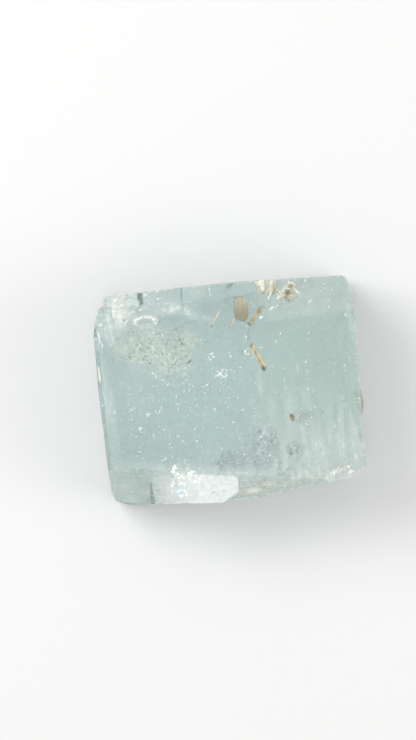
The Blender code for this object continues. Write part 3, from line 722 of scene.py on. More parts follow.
def lump(place, radii, rough, seed):
    """A rough ball that cuts a chip."""
    bpy.ops.mesh.primitive_ico_sphere_add(subdivisions=3, radius=MM)
    tool = bpy.context.active_object
    shape = points_of(tool)
    bumps = 1 + rough * np.array([noise.noise(Vector(p) * 2.5 + Vector((seed, 0, 0))) for p in shape])
    set_points(tool, shape * bumps[:, None] * np.array(radii) + np.array(place))
    return tool


def join(pieces):
    bpy.ops.object.select_all(action="DESELECT")
    for piece in pieces:
        piece.select_set(True)
    bpy.context.view_layer.objects.active = pieces[0]
    if len(pieces) > 1:
        bpy.ops.object.join()
    return bpy.context.active_object


def combine(body, tool, operation):
    """One boolean step, after which the tool is gone."""
    activate(body)
    step = body.modifiers.new("step", "BOOLEAN")
    step.operation = operation
    step.solver = "EXACT"
    step.object = tool
    bpy.ops.object.modifier_apply(modifier=step.name)
    bpy.data.objects.remove(tool, do_unlink=True)


def chip_edges(body):
    """Small nicks along the edges, and the break through the top left corner."""
    combine(body, join([lump(*row, seed) for seed, row in enumerate(CHIPS, 4)]), "DIFFERENCE")


def side_masks(points):
    """Bloom and frost of the sides, ends and back: worn edges, growth lines, breaks and hillocks."""
    x, y, z = points.T
    gaps = np.abs(face_gaps(points, OTHER_FACES))
    kind = np.array([face_kind(name) for name in OTHER_FACES])[np.argmin(gaps, axis=0)]
    worn = edge_distance(points, OTHER_FACES)
    nicked = 0.6 * grain(x + 1.7 * z, y, 0.45, 85.0) + 0.9 * grain(x, y + z, 3.1, 89.0)
    edge = (1 - smooth(worn, 0.0, 0.28)) * smooth(nicked, 0.05, 0.5)
    lines = smooth(growth_lines(y, z), 0.1, 0.7)
    clouds = smooth(grain(x + 0.3 * z, z + 0.6 * y, 3.0, 86.0), -0.2, 0.6)
    patches = smooth(grain(x, y, 5.0, 87.0, 1.5), 0.0, 0.5)
    shells = np.max([shell_bowl(x, z, middle, radius) for middle, radius in BREAK_SHELLS], axis=0)
    rings = smooth(shell_waves(shells, x, z), 0.4, 1) * smooth(grain(x, z, 2.6, 44.0), -0.1, 0.5)
    rings *= shells > 0
    choices = [0.20 * lines, 0.12 * clouds, 0.12 * clouds + 0.22 * rings, 0.12 * patches, 0.08 * clouds]
    veil = np.choose(kind, choices)
    return np.clip(np.maximum(veil, 0.34 * edge), 0, 0.9), 0.5 * edge


def build_crystal(surface):
    body = add_side_block()
    divide_sides(body)
    roughen_sides(body)
    chip_edges(body)
    sheet = add_front_sheet()
    close_into_block(sheet)
    combine(body, sheet, "INTERSECT")
    points = points_of(body)
    x, y, z = points.T
    on_front = (1 - smooth(np.abs(z - front_relief(x, y)), 0.1, 0.3)) * smooth(z, 9.5, 10.5)
    bevel = np.abs(face_gaps(points, {"bevel": FRONT_FACES["bevel_left_front"]})[0])
    # Painted shade: the left bevel strip is darkened and gets less veil and frost, standing for the darker
    # surroundings that the bevel reflects.
    painted_bevel_shade = on_front * (1 - smooth(bevel, 0.05, 0.09)) * smooth(-x, 20.0, 20.6) * smooth(-y, -9.5, -8)
    painted_bevel_shade *= 0.75 + 0.5 * grain(x, y, 0.5, 88.0, 6.0)
    side_veil, side_frost = side_masks(points)
    shade = darkness(x, y)
    front_veil = (1 - 0.9 * painted_bevel_shade) * (1 - 0.6 * smooth(shade, 0.2, 0.7)) * veil_share(x, y)
    store(body, "veil", on_front * front_veil + (1 - on_front) * side_veil)
    store(body, "frost", on_front * (1 - 0.7 * painted_bevel_shade) * frost_share(x, y) + (1 - on_front) * side_frost)
    store(body, "warm", on_front * warmth(x, y))
    store(body, "dark", np.maximum(on_front * shade, 0.5 * painted_bevel_shade))
    foot = 0.85 * smooth(-12.6 - 0.12 * (x + 10) - y, -0.6, 0.8)
    broken = 0.9 * np.maximum(ledge_share(x, y), corner_share(x, y))
    frosted = np.maximum.reduce([broken, 0.6 * etched_share(x, y), foot])
    store(body, "matt", np.maximum(np.where(on_front > 0.5, 0.25, 0.12), on_front * frosted))
    store(body, "etched", on_front * etched_share(x, y))
    store(body, "mottled", on_front * mottle_share(x, y))
    store(body, "dull", on_front * dull_share(x, y))
    activate(body)
    bpy.ops.object.shade_smooth_by_angle(angle=math.radians(28))
    return finish_piece(body, "crystal", surface, ["aquamarine_crystal"])


def build_bloom(body, surface):
    """The frost and bloom that whiten the crystal, with the painted highlights and reflections laid in
    them: a film just over its faces.
    """
    activate(body)
    bpy.ops.object.duplicate()
    film = bpy.context.active_object
    shares = np.empty((2, len(film.data.vertices)), np.float32)
    film.data.attributes["veil"].data.foreach_get("value", shares[0])
    film.data.attributes["frost"].data.foreach_get("value", shares[1])
    clear = (shares[0] < 0.04) & (shares[1] < 0.2)
    normals = np.empty(len(film.data.vertices) * 3)
    film.data.vertices.foreach_get("normal", normals)
    set_points(film, points_of(film) + 0.012 * normals.reshape(-1, 3))
    with editing(film, "DESELECT"):
        bpy.ops.mesh.select_mode(type="FACE")
    for face in film.data.polygons:
        face.select = bool(all(clear[corner] for corner in face.vertices))
    bpy.ops.object.mode_set(mode="EDIT")
    bpy.ops.mesh.delete(type="FACE")
    bpy.ops.object.mode_set(mode="OBJECT")
    return finish_piece(film, "bloom", surface)


# What grew inside the crystal.
def scatter(shape, rows, seed):
    """Turned copies of one small shape, one for each row: x, y, rise, size, stretch, tone."""
    rng = random.Random(seed)
    copies = []
    x, y, rise = np.array([row[:3] for row in rows]).T
    for z, (x, y, rise, size, stretch, tone) in zip(front_relief(x, y) + rise, rows):
        copy = shape.copy()
        copy.data = shape.data.copy()
        bpy.context.scene.collection.objects.link(copy)
        spin, lean = rng.uniform(0, math.tau), rng.uniform(-0.5, 0.5)
        turned = Matrix.Rotation(spin, 4, "Z") @ Matrix.Rotation(lean, 4, "X")
        sized = Matrix.Diagonal((size * stretch, size, size * 0.35, 1))
        copy.matrix_world = Matrix.Translation(Vector((x, y, z)) * MM) @ turned @ sized
        give_tone(copy, tone)
        copies.append(copy)
    bpy.data.objects.remove(shape, do_unlink=True)
    whole = join(copies)
    bpy.ops.object.transform_apply(location=True, rotation=True, scale=True)
    return whole


def small_ball():
    bpy.ops.mesh.primitive_ico_sphere_add(subdivisions=1, radius=MM)
    return bpy.context.active_object


def front_height(x, y):
    """Height of the finished front over one point."""
    return float(front_relief(np.array([x]), np.array([y]))[0])


def build_specks(surface):
    """Flat specks in the front, in the trails where they gathered, made bright as painted glints."""
    rng = random.Random(11)
    rows = []
    for x, y, size in TOP_DOTS + SPECKS:
        for number in range(1 + int(size / 0.09)):
            reach = 0.0 if number == 0 else size * 1.4
            place = x + rng.uniform(-reach, reach), y + rng.uniform(-reach, reach)
            half = size * (0.58 if number == 0 else rng.uniform(0.15, 0.42))
            rows.append((*place, rng.uniform(0.0, 0.02), half, rng.uniform(1, 1.6), rng.uniform(0.6, 1)))
    while len(rows) < SPECK_COUNT:
        x, y = rng.uniform(-20.3, 20.3), rng.uniform(-16, 16.5)
        likely = 0.2 + 0.8 * smooth(np.array([bowl(x, y, (-7, -4), (15, 13))]), 0, 0.5)[0]
        if rng.random() < likely:
            faint = rng.random() < 0.12
            size = rng.uniform(0.08, 0.15) if faint else 0.03 + 0.07 * rng.random() ** 3
            rise = -(rng.uniform(-0.015, 0.01) if rng.random() < 0.75 else rng.uniform(0.3, 3.0))
            rows.append((x, y, rise, size, rng.uniform(1, 2.2), rng.uniform(0, 0.10 if faint else 0.40)))
    return finish_piece(scatter(small_ball(), rows, 12), "specks", surface)


def add_tube(rng, x, y, height, widest, longest):
    bpy.ops.mesh.primitive_cylinder_add(
        vertices=5, radius=rng.uniform(0.02, widest) * MM, depth=rng.uniform(0.7, longest) * MM,
        location=Vector((x, y, height)) * MM,
        rotation=(math.radians(90), 0, math.radians(rng.uniform(-2, 2))),
    )
    return bpy.context.active_object


def build_tubes(surface):
    """Hair-thin growth tubes along the c axis: many just under the front, others deep in the crystal."""
    rng = random.Random(21)
    tubes = []
    for _ in range(DEEP_TUBES):
        x, y = min(max(rng.gauss(9, 8), -19), 19.3), min(max(rng.gauss(-7, 6), -13.0), 13)
        tubes.append(add_tube(rng, x, y, rng.uniform(8, 19.2), 0.055, 4.5))
    for _ in range(NEAR_TUBES):
        x, y = min(abs(rng.gauss(10, 7) + 3) - 3, 19.3), min(max(rng.gauss(-7, 6), -13.0), 13)
        height = plane_height(FRONT_FACES["front_right"], x, y) - rng.uniform(0.08, 1.2)
        tubes.append(add_tube(rng, x, y, height, 0.06, 3.8))
    whole = join(tubes)
    bpy.ops.object.transform_apply(location=True, rotation=True, scale=True)
    return finish_piece(whole, "growth_tubes", surface)


def build_sugar(surface):
    """The cluster of sugary crumbs beside the ledge."""
    rng = random.Random(31)
    rows = []
    for x, y, size in SUGAR:
        for _ in range(9):
            place = x + rng.gauss(0, size * 0.5), y + rng.gauss(0, size * 0.5)
            rise, half = rng.uniform(0.0, 0.12), size * rng.uniform(0.35, 0.85)
            rows.append((*place, rise, half, rng.uniform(1, 1.5), rng.uniform(0.5, 1)))
    return finish_piece(scatter(small_ball(), rows, 32), "sugary_crumbs", surface)


def build_spark(name, place, size, surface):
    bpy.ops.mesh.primitive_ico_sphere_add(subdivisions=2, radius=MM)
    gem = bpy.context.active_object
    x, y = place
    set_points(gem, points_of(gem) * (size, size * 0.9, size * 0.4) + (x, y, front_height(x, y) + 0.03))
    return finish_piece(gem, name, surface)


# Mica and albite.
def ragged_outline(outline, step, amount, seed):
    """The outline with more points, each moved a little at random."""
    rng = random.Random(seed)
    points = []
    for (ax, ay), (bx, by) in zip(outline, outline[1:] + outline[:1]):
        count = max(1, round(math.hypot(bx - ax, by - ay) / step))
        for number in range(count):
            share = number / count
            points.append((
                ax + (bx - ax) * share + rng.uniform(-amount, amount),
                ay + (by - ay) * share + rng.uniform(-amount, amount),
            ))
    return points


def add_sheet(outline, low, high):
    """A flat flake with the given outline, from the height LOW to HIGH."""
    bpy.ops.mesh.primitive_circle_add(vertices=len(outline), radius=MM, fill_type="NGON")
    flake = bpy.context.active_object
    with editing(flake):
        bpy.ops.mesh.extrude_region_move(TRANSFORM_OT_translate={"value": (0, 0, MM)})
    points = points_of(flake)
    count = len(outline)
    points[:count] = [(x, y, low) for x, y in outline]
    points[count:] = [(x, y, high) for x, y in outline]
    set_points(flake, points)
    with editing(flake):
        bpy.ops.mesh.normals_make_consistent(inside=False)
        bpy.ops.mesh.quads_convert_to_tris(ngon_method="CLIP")
    return flake


def stack_sheets(outline, low, high, layers, shrink, ragged, seed, drift=(0, 0), pinch=0.0, tones=(0, 1)):
    """A book of thin torn flakes. SHRINK makes them smaller towards the top, PINCH at both ends."""
    rng = random.Random(seed)
    middle_x, middle_y = (sum(values) / len(outline) for values in zip(*outline))
    step = (high - low) / layers
    sheets = []
    for number in range(layers):
        scale = 1 - shrink * number / max(1, layers - 1)
        shift_x = drift[0] * number + rng.uniform(-ragged, ragged)
        shift_y = drift[1] * number + rng.uniform(-ragged, ragged)
        share = 2 * number / max(1, layers - 1) - 1
        length = scale * (1 - pinch * share * share)
        scaled = [
            (middle_x + (x - middle_x) * scale + shift_x, middle_y + (y - middle_y) * length + shift_y)
            for x, y in outline
        ]
        rough = ragged_outline(scaled, 0.22, ragged * 0.7, seed * 10 + number)
        sheet = add_sheet(rough, low + step * number, low + step * (number + SHEET_FILL))
        give_tone(sheet, rng.uniform(*tones))
        sheets.append(sheet)
    return join(sheets)


def blade_book(start, end, width, low, high, slivers, seed, curve=0.0):
    """A mica book seen on its edge: long slivers side by side from START to END."""
    rng = random.Random(seed)
    length = math.hypot(end[0] - start[0], end[1] - start[1])
    along = ((end[0] - start[0]) / length, (end[1] - start[1]) / length)
    across = (-along[1], along[0])
    sheets = []
    for number in range(slivers):
        side = (number + 0.5) / slivers - 0.5
        lead, tail = rng.uniform(-0.02, 0.14), 1 - rng.uniform(-0.02, 0.12)
        half = 0.5 * width / slivers * rng.uniform(1.05, 1.3)
        outline = []
        for share in np.linspace(lead, tail, 9):
            bend = curve * math.sin(math.pi * share) + side * width
            outline.append((share * length, bend - half))
        for share in np.linspace(tail, lead, 9):
            bend = curve * math.sin(math.pi * share) + side * width
            outline.append((share * length + rng.uniform(-0.05, 0.05), bend + half))
        placed = [
            (start[0] + u * along[0] + v * across[0], start[1] + u * along[1] + v * across[1])
            for u, v in outline
        ]
        top = high - rng.uniform(0, 0.1) * (high - low)
        sheet = add_sheet(placed, low, top)
        give_tone(sheet, rng.random())
        sheets.append(sheet)
    return join(sheets)


def lay_on_front(piece):
    """Drops a piece that was built about z = 0 onto the front surface."""
    points = points_of(piece)
    x, y, z = points.T
    set_points(piece, np.column_stack([x, y, z + front_relief(x, y)]))


def build_micas(looks):
    plate = stack_sheets(PLATE_OUTLINE, 19.72, 20.07, 5, 0.06, 0.05, 3)
    finish_piece(plate, "mica_plate_sheets", looks["brown"], ["mica_plate"])
    tail = blade_book((1.75, 12.3), (0.88, 10.65), 0.34, 19.75, 20.07, 3, 5)
    finish_piece(tail, "mica_plate_tail", looks["gold"])
    upper = blade_book((3.9, 10.75), (6.55, 13.7), 0.70, 19.7, 20.09, 6, 7, 0.10)
    finish_piece(upper, "mica_blade_upper_book", looks["olive"], ["mica_blade_upper"])
    needle = blade_book((-2.5, 10.85), (-0.58, 13.55), 0.22, 19.78, 20.06, 2, 9)
    finish_piece(needle, "mica_needle_sliver", looks["gold"], ["mica_needle"])
    lower = blade_book((3.9, 7.65), (5.95, 3.15), 0.78, 19.65, 20.08, 7, 11, 0.0)
    finish_piece(lower, "mica_blade_lower_book", looks["tipped"], ["mica_blade_lower"])
    fleck = stack_sheets(FLECK_OUTLINE, 19.66, 20.0, 4, 0.25, 0.04, 13, (0.02, -0.03))
    finish_piece(fleck, "mica_fleck_sheets", looks["olive"], ["mica_fleck"])
    book = stack_sheets(BOOK_OUTLINE, 11.2, 12.4, 9, 0.0, 0.06, 15, (-0.01, 0.02), 0.6)
    finish_piece(book, "mica_book_sheets", looks["striped"], ["mica_book_right"])


def add_shard(root, tip, width, thick, blunt):
    """A six-sided albite blade from ROOT to TIP; BLUNT is how wide its tip stays."""
    bpy.ops.mesh.primitive_cone_add(vertices=6, radius1=0.5 * MM, radius2=blunt * MM, depth=MM)
    shard = bpy.context.active_object
    shape = points_of(shard)
    shape[:, 2] += 0.5
    shape[:, :2] *= 1 - 0.25 * np.abs(shape[:, 2:] - 0.4)
    axis = Vector(tip) - Vector(root)
    shape *= (width, thick, axis.length)
    side = axis.cross(Vector((0, 0, 1))).normalized()
    turned = Matrix((side, side.cross(axis).normalized() * -1, axis.normalized())).transposed()
    set_points(shard, shape @ np.array(turned).T + np.array(root))
    return shard


def build_cluster(rows, seed):
    """Albite blades; each row: root x, root y, direction (degrees), length, width, tone."""
    rng = random.Random(seed)
    shards = []
    for x, y, turn, length, width, tone in rows:
        tip_x, tip_y = x + length * math.cos(math.radians(turn)), y + length * math.sin(math.radians(turn))
        root = (x, y, front_height(x, y) - 0.04)
        tip = (tip_x, tip_y, front_height(tip_x, tip_y) + rng.uniform(0.05, 0.3))
        shard = add_shard(root, tip, width, 0.3 + width * 0.3, rng.uniform(0.16, 0.38))
        give_tone(shard, tone)
        shards.append(shard)
    return join(shards)


def build_albites(white):
    left = build_cluster(LEFT_SHARDS, 41)
    finish_piece(left, "albite_blades_left", white, ["albite_cluster_left"])
    right = build_cluster(RIGHT_SHARDS, 43)
    finish_piece(right, "albite_blades_right", white, ["albite_cluster_right"])
    flake = stack_sheets(CREAM_FLAKE_OUTLINE, -0.5, 0.14, 4, 0.2, 0.04, 45, (0.01, 0), 0, (0, 0.14))
    lay_on_front(flake)
    finish_piece(flake, "albite_flake_sheets", white, ["albite_flake_left"])


# Materials.
def new_material(name, roughness=0.5, coat=0.0, glow=(1, 1, 1), glow_strength=0.0):
    made = bpy.data.materials.new(name)
    made.use_nodes = True
    tree = made.node_tree
    tree.nodes.clear()
    output = tree.nodes.new("ShaderNodeOutputMaterial")
    shader = tree.nodes.new("ShaderNodeBsdfPrincipled")
    shader.inputs["Roughness"].default_value = roughness
    shader.inputs["Coat Weight"].default_value = coat
    shader.inputs["Emission Color"].default_value = (*glow, 1)
    shader.inputs["Emission Strength"].default_value = glow_strength
    tree.links.new(shader.outputs["BSDF"], output.inputs["Surface"])
    return made, tree, shader


def plug(tree, value, socket):
    """Links a socket to another, or sets it to a plain number or colour."""
    if isinstance(value, bpy.types.NodeSocket):
        tree.links.new(value, socket)
    elif isinstance(value, tuple) and len(value) == 3 and socket.type == "RGBA":
        socket.default_value = (*value, 1)
    else:
        socket.default_value = value


def add_mix(tree, share, first, second):
    mix = tree.nodes.new("ShaderNodeMix")
    mix.data_type = "RGBA"
    for number, value in ((0, share), (6, first), (7, second)):
        plug(tree, value, mix.inputs[number])
    return mix.outputs[2]


def add_math(tree, operation, first, second=0.0):
    made = tree.nodes.new("ShaderNodeMath")
    made.operation = operation
    plug(tree, first, made.inputs[0])
    plug(tree, second, made.inputs[1])
    return made.outputs[0]


def times(tree, first, second):
    return add_math(tree, "MULTIPLY", first, second)


def total(tree, first, second):
    return add_math(tree, "ADD", first, second)


def most(tree, *values):
    """The largest of several values."""
    best = values[0]
    for value in values[1:]:
        best = add_math(tree, "MAXIMUM", best, value)
    return best


def add_range(tree, source, low, high, new_low=0.0, new_high=1.0):
    made = tree.nodes.new("ShaderNodeMapRange")
    for number, value in enumerate((source, low, high, new_low, new_high)):
        plug(tree, value, made.inputs[number])
    return made.outputs["Result"]


def add_place(tree, axis, low, high, space="Object"):
    """0 to 1 along one axis, from LOW to HIGH."""
    place = tree.nodes.new("ShaderNodeTexCoord")
    parts = tree.nodes.new("ShaderNodeSeparateXYZ")
    tree.links.new(place.outputs[space], parts.inputs["Vector"])
    return add_range(tree, parts.outputs[axis], low, high)


def add_ramp(tree, source, stops):
    ramp = tree.nodes.new("ShaderNodeValToRGB")
    tree.links.new(source, ramp.inputs["Fac"])
    band = ramp.color_ramp
    while len(band.elements) < len(stops):
        band.elements.new(0.5)
    for element, (place, colour) in zip(band.elements, stops):
        element.position = place
        element.color = (*colour, 1)
    return ramp.outputs["Color"]


def add_attribute(tree, name):
    made = tree.nodes.new("ShaderNodeAttribute")
    made.attribute_name = name
    return made.outputs["Fac"]


def add_bump(tree, height, strength, depth, shader):
    bump = tree.nodes.new("ShaderNodeBump")
    bump.inputs["Strength"].default_value = strength
    bump.inputs["Distance"].default_value = depth * MM
    tree.links.new(height, bump.inputs["Height"])
    tree.links.new(bump.outputs["Normal"], shader.inputs["Normal"])


def mineral_grain():
    """The group behind every mottle: noise in the piece's own space, drawn out along one way."""
    group = bpy.data.node_groups.new("mineral_grain", "ShaderNodeTree")
    for name in ("Grain", "Draw", "Turn", "Low", "High", "Detail"):
        kind = "Vector" if name in ("Draw", "Turn") else "Float"
        group.interface.new_socket(name=name, in_out="INPUT", socket_type=f"NodeSocket{kind}")
    for name in ("Value", "Lines"):
        group.interface.new_socket(name=name, in_out="OUTPUT", socket_type="NodeSocketFloat")
    enter, leave = group.nodes.new("NodeGroupInput"), group.nodes.new("NodeGroupOutput")
    place = group.nodes.new("ShaderNodeTexCoord")
    mapping = group.nodes.new("ShaderNodeMapping")
    texture = group.nodes.new("ShaderNodeTexNoise")
    for start, end in (
        (place.outputs["Object"], mapping.inputs["Vector"]),
        (enter.outputs["Draw"], mapping.inputs["Scale"]),
        (enter.outputs["Turn"], mapping.inputs["Rotation"]),
        (mapping.outputs["Vector"], texture.inputs["Vector"]),
        (enter.outputs["Grain"], texture.inputs["Scale"]),
        (enter.outputs["Detail"], texture.inputs["Detail"]),
    ):
        group.links.new(start, end)
    result = add_range(group, texture.outputs["Fac"], enter.outputs["Low"], enter.outputs["High"])
    group.links.new(result, leave.inputs["Value"])
    middle = add_math(group, "ABSOLUTE", add_math(group, "SUBTRACT", texture.outputs["Fac"], 0.5))
    group.links.new(add_range(group, middle, 0.010, 0.042, 1.0, 0.0), leave.inputs["Lines"])
    return group


def add_grain(tree, size, draw=(1, 1, 1), turn=0.0, low=0.3, high=0.7, detail=3.0):
    """Mottle from 0 to 1 with spots of SIZE mm."""
    made = tree.nodes.new("ShaderNodeGroup")
    made.node_tree = GRAIN
    values = (1 / (size * MM), draw, (0, 0, math.radians(turn)), low, high, detail)
    for socket, value in zip(made.inputs, values):
        socket.default_value = value
    return made.outputs["Value"]


def add_squiggles(tree, size, draw=(1, 1, 1)):
    """Thin crooked lines, about SIZE mm apart."""
    return add_grain(tree, size, draw, detail=1.0).node.outputs["Lines"]


def beryl_glass():
    """Clear beryl, blue-green by absorption, with a milky share that carries its streaks and pits."""
    made, tree, shader = new_material("aquamarine")
    across = add_place(tree, "X", -18 * MM, 16 * MM)
    zone = total(tree, across, times(tree, add_grain(tree, 9), 0.4))
    tint = add_ramp(tree, add_math(tree, "SUBTRACT", zone, 0.2), [
        (0.0, (0.80, 0.945, 0.93)), (0.5, (0.795, 0.94, 0.915)), (1.0, (0.81, 0.945, 0.885)),
    ])
    down = add_place(tree, "Y", -2 * MM, -18 * MM)
    silk = times(tree, add_grain(tree, 3.0, (1, 0.35, 1)), times(tree, across, down))
    streaks = times(tree, add_grain(tree, 0.7, (1, 0.08, 1)), 0.25)
    fine = times(tree, add_grain(tree, 0.35), 0.28)
    dots = times(tree, add_grain(tree, 0.5, low=0.62, high=0.72), 0.7)
    etched = times(tree, add_attribute(tree, "etched"), 0.6)
    mottled = times(tree, add_attribute(tree, "mottled"), 0.8)
    pits = times(tree, times(tree, most(tree, etched, mottled), add_squiggles(tree, 0.9)), 0.95)
    # The dark attribute darkens the glass's tint: dark marks and pits, and painted shade in the slots,
    # beside the ledge's step and on the left bevel.
    dark = add_attribute(tree, "dark")
    broken = add_range(tree, add_grain(tree, 0.3, low=0.42, high=0.62), 0, 1, 0.35, 1.15)
    dark_marks_and_shade = most(tree, times(tree, dark, broken), add_range(tree, dark, 0.45, 0.8))
    for share, colour in (
        (silk, (0.96, 0.99, 0.98)),
        (streaks, (0.90, 0.97, 0.965)),
        (fine, (0.62, 0.77, 0.76)),
        (dots, (0.98, 1.0, 1.0)),
        (pits, (0.17, 0.25, 0.29)),
        (dark_marks_and_shade, (0.14, 0.20, 0.22)),
    ):
        tint = add_mix(tree, share, tint, colour)
    plug(tree, tint, shader.inputs["Base Color"])
    rough = add_range(tree, add_attribute(tree, "matt"), 0.0, 1.0, 0.05, 0.55)
    plug(tree, total(tree, rough, times(tree, add_grain(tree, 1.2), 0.06)), shader.inputs["Roughness"])
    shader.inputs["IOR"].default_value = 1.577
    shader.inputs["Transmission Weight"].default_value = 0.72
    add_bump(tree, add_grain(tree, 0.5, (1, 0.15, 1)), 0.25, 0.03, shader)
    absorb = tree.nodes.new("ShaderNodeVolumeAbsorption")
    absorb.inputs["Color"].default_value = (0.60, 0.80, 0.76, 1)
    absorb.inputs["Density"].default_value = 5.5
    tree.links.new(absorb.outputs["Volume"], tree.nodes["Material Output"].inputs["Volume"])
    return made


def frost_bloom():
    """The whitish film of frost and bloom, with painted highlights and reflections among it: its colours,
    and how much of it covers each spot.
    """
    made, tree, shader = new_material("frost", 0.75)
    warm, etched, mottled, dull, dark, veil, frost = (
        add_attribute(tree, name) for name in ("warm", "etched", "mottled", "dull", "dark", "veil", "frost")
    )
    lined = most(tree, etched, times(tree, mottled, 0.8))
    gloom = times(tree, add_squiggles(tree, 1.15, (1, 1.4, 1)), add_grain(tree, 1.3, low=0.46, high=0.56))
    blotch = times(tree, add_grain(tree, 1.7, low=0.48, high=0.64, detail=1.0), 0.32)
    gloom = most(tree, times(tree, gloom, lined), times(tree, blotch, mottled))

    cream = add_mix(tree, add_grain(tree, 0.8), (0.94, 0.94, 0.86), (0.82, 0.83, 0.74))
    lichen = add_mix(tree, add_grain(tree, 1.4), (0.94, 0.96, 0.82), (0.78, 0.86, 0.74))
    white = add_mix(tree, add_grain(tree, 0.4), (0.95, 0.98, 0.955), (0.80, 0.875, 0.845))
    clouded = add_mix(tree, add_grain(tree, 3.0), (0.55, 0.655, 0.615), (0.68, 0.77, 0.715))
    white = add_mix(tree, add_range(tree, dull, 0.0, 0.35, 0.0, 0.92), white, clouded)
    pale = add_mix(tree, warm, white, add_mix(tree, etched, cream, lichen))
    dim = add_mix(tree, etched, (0.09, 0.155, 0.21), (0.19, 0.26, 0.19))
    plug(tree, add_mix(tree, gloom, pale, dim), shader.inputs["Base Color"])

    cloudy = total(tree, add_grain(tree, 0.9), add_grain(tree, 0.7, (1, 0.25, 1)))
    cloudy = add_range(tree, cloudy, 0.2, 1.8, 0.50, 1.35)
    even = times(tree, add_range(tree, veil, 0.5, 0.85, 0.0, 0.85), add_math(tree, "SUBTRACT", 1.0, cloudy))
    crumbs = add_math(tree, "SUBTRACT", total(tree, frost, add_grain(tree, 0.24)), 0.80)
    crumbs = add_range(tree, times(tree, crumbs, 1.8), 0.0, 1.0)
    lines = most(tree, add_squiggles(tree, 0.8, (1, 1.3, 1)), add_grain(tree, 0.25, low=0.58, high=0.66))
    share = most(
        tree,
        times(tree, veil, total(tree, cloudy, even)),
        times(tree, crumbs, add_range(tree, frost, 0, 0.4)),
        times(tree, times(tree, lined, lines), 0.6),
        times(tree, gloom, 0.9),
    )
    share = times(tree, share, add_range(tree, dark, 0.32, 0.65, 1.0, 0.1))
    plug(tree, add_math(tree, "MINIMUM", share, 1.0), shader.inputs["Alpha"])
    add_bump(tree, add_grain(tree, 0.25), 0.5, 0.04, shader)
    return made


# The specks' white and faint glow are painted glints: the light that tiny cracks in the crystal reflect.
def speck_glint():
    made, tree, shader = new_material("speck_glint", 0.35, 0.0, (1.0, 0.98, 0.96), 0.05)
    bright = add_mix(tree, add_grain(tree, 1.5), (0.90, 0.90, 0.86), (0.84, 0.88, 0.88))
    colour = add_mix(tree, add_attribute(tree, "tone"), (0.50, 0.57, 0.555), bright)
    plug(tree, colour, shader.inputs["Base Color"])
    return made


def tube_silk():
    made, tree, shader = new_material("tube_silk", 0.4)
    colour = add_mix(tree, add_grain(tree, 2.0), (0.90, 0.98, 0.98), (0.74, 0.86, 0.87))
    plug(tree, colour, shader.inputs["Base Color"])
    plug(tree, add_range(tree, add_grain(tree, 1.0), 0.0, 1.0, 0.15, 0.8), shader.inputs["Alpha"])
    return made


# The crumbs are white; their faint glow is a painted glint.
def sugar_white_glint():
    made, tree, shader = new_material("sugar_white_glint", 0.3, 0.4, (1.0, 1.0, 0.97), 0.08)
    shade = times(tree, add_attribute(tree, "tone"), add_grain(tree, 0.3, low=0.2, high=0.5))
    plug(tree, add_mix(tree, shade, (0.52, 0.60, 0.59), (0.95, 0.95, 0.92)), shader.inputs["Base Color"])
    return made


def spark(name, colour):
    made, tree, shader = new_material(name, 0.15, 0.6, colour, 0.35)
    plug(tree, add_mix(tree, add_grain(tree, 0.15), colour, (0.95, 0.97, 1.0)), shader.inputs["Base Color"])
    return made


def mica(name, shades, turn, end):
    """Mica in three shades. TURN is the way of its streaks, END where its darker end starts and stops."""
    made, tree, shader = new_material(name, 0.38, 0.35)
    streak = add_grain(tree, 0.22, (1, 0.12, 1), turn, 0.25, 0.75)
    mixed = total(tree, times(tree, streak, 0.45), times(tree, add_grain(tree, 0.9), 0.2))
    tone = total(tree, mixed, times(tree, add_attribute(tree, "tone"), 0.45))
    colour = add_ramp(tree, tone, list(zip((0.12, 0.5, 0.88), shades)))
    if end:
        start, stop, end_colour = end
        colour = add_mix(tree, add_place(tree, "Y", start * MM, stop * MM), colour, end_colour)
    plug(tree, colour, shader.inputs["Base Color"])
    shader.inputs["Coat Roughness"].default_value = 0.15
    add_bump(tree, streak, 0.5, 0.03, shader)
    return made


def albite_white():
    made, tree, shader = new_material("albite", 0.45, 0.3)
    uneven = add_range(tree, add_grain(tree, 0.5), 0, 1, -0.12, 0.12)
    tone = total(tree, add_attribute(tree, "tone"), uneven)
    colour = add_ramp(tree, tone, [
        (0.0, (0.80, 0.80, 0.72)), (0.3, (0.56, 0.56, 0.46)),
        (0.6, (0.36, 0.33, 0.21)), (0.9, (0.15, 0.13, 0.07)),
    ])
    plug(tree, colour, shader.inputs["Base Color"])
    add_bump(tree, add_grain(tree, 0.2, (1, 0.4, 1)), 0.5, 0.04, shader)
    return made


def floor_finish():
    made, _, shader = new_material("pale_floor", 0.8)
    shader.inputs["Base Color"].default_value = (0.80, 0.80, 0.79, 1)
    return made


# The stage.
def build_stage():
    bpy.ops.mesh.primitive_plane_add(size=6, location=(0, 0, -0.0002))
    floor = bpy.context.active_object
    floor.name = "floor"
    floor.data.materials.append(floor_finish())


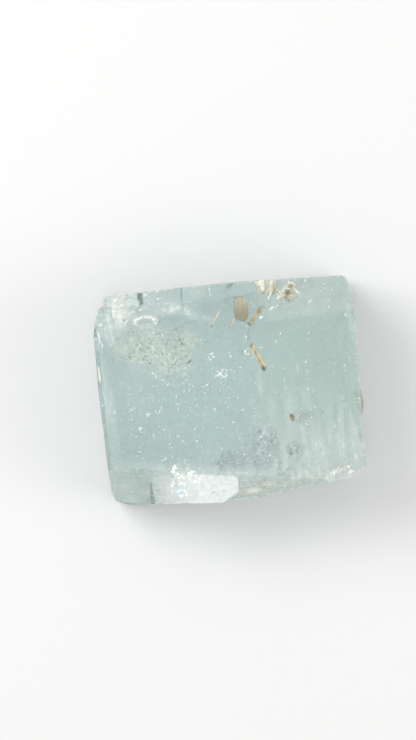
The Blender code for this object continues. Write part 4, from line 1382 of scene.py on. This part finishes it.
def build_lights():
    world = bpy.data.worlds.new("studio")
    world.use_nodes = True
    tree = world.node_tree
    sky = tree.nodes["Background"]
    shades = add_ramp(tree, add_place(tree, "Z", -0.2, 0.9, "Generated"), [
        (0.0, (0.55, 0.56, 0.57)), (0.35, (0.72, 0.73, 0.74)), (1.0, (1.0, 1.0, 1.0)),
    ])
    tree.links.new(shades, sky.inputs["Color"])
    sky.inputs["Strength"].default_value = 0.80
    bpy.context.scene.world = world
    for name, place, power, size in (
        ("key", (-0.28, 0.22, 0.42), 1.5, 0.30),
        ("fill", (0.35, -0.10, 0.30), 0.5, 0.30),
    ):
        light = bpy.data.lights.new(name, "AREA")
        light.energy = power
        light.size = size
        lamp = bpy.data.objects.new(name, light)
        lamp.location = place
        lamp.rotation_euler = (-lamp.location).to_track_quat("-Z", "Y").to_euler()
        bpy.context.scene.collection.objects.link(lamp)


def build_camera():
    """Straight above, rolled a little so that the crystal lies turned in the picture."""
    lens = bpy.data.cameras.new("camera")
    lens.lens = 294.8
    lens.sensor_width = 36
    camera = bpy.data.objects.new("camera", lens)
    camera.location = (-3.45 * MM, 3.93 * MM, EYE_HEIGHT)
    camera.rotation_euler = (0, 0, math.radians(-5))
    lens.clip_start = 0.01
    lens.clip_end = 10
    bpy.context.scene.collection.objects.link(camera)
    bpy.context.scene.camera = camera
    bpy.context.scene.view_settings.view_transform = "Standard"


GRAIN = mineral_grain()
crystal = build_crystal(beryl_glass())
build_bloom(crystal, frost_bloom())
build_specks(speck_glint())
build_tubes(tube_silk())
build_sugar(sugar_white_glint())
build_spark("blue_spark", (-9.65, -15.5), 0.42, spark("blue_glint", (0.20, 0.43, 0.86)))
build_spark("gold_spark", (-9.75, -13.4), 0.26, spark("gold_glint", (0.90, 0.80, 0.42)))
MICAS = {
    name: mica("mica_" + name, shades, turn, end)
    for name, shades, turn, end in (
        ("brown", ((0.24, 0.22, 0.15), (0.38, 0.36, 0.26), (0.52, 0.49, 0.38)), 5,
         (15.2, 12.6, (0.27, 0.25, 0.175))),
        ("gold", ((0.28, 0.23, 0.13), (0.54, 0.49, 0.34), (0.80, 0.77, 0.63)), -24, None),
        ("olive", ((0.12, 0.11, 0.06), (0.29, 0.27, 0.17), (0.58, 0.56, 0.41)), 40, None),
        ("tipped", ((0.17, 0.12, 0.05), (0.47, 0.40, 0.24), (0.84, 0.80, 0.64)), -24,
         (4.0, 3.3, (0.045, 0.030, 0.020))),
        ("striped", ((0.20, 0.16, 0.10), (0.48, 0.43, 0.33), (0.82, 0.79, 0.68)), 0, None),
    )
}
build_micas(MICAS)
build_albites(albite_white())
build_stage()
build_lights()
build_camera()
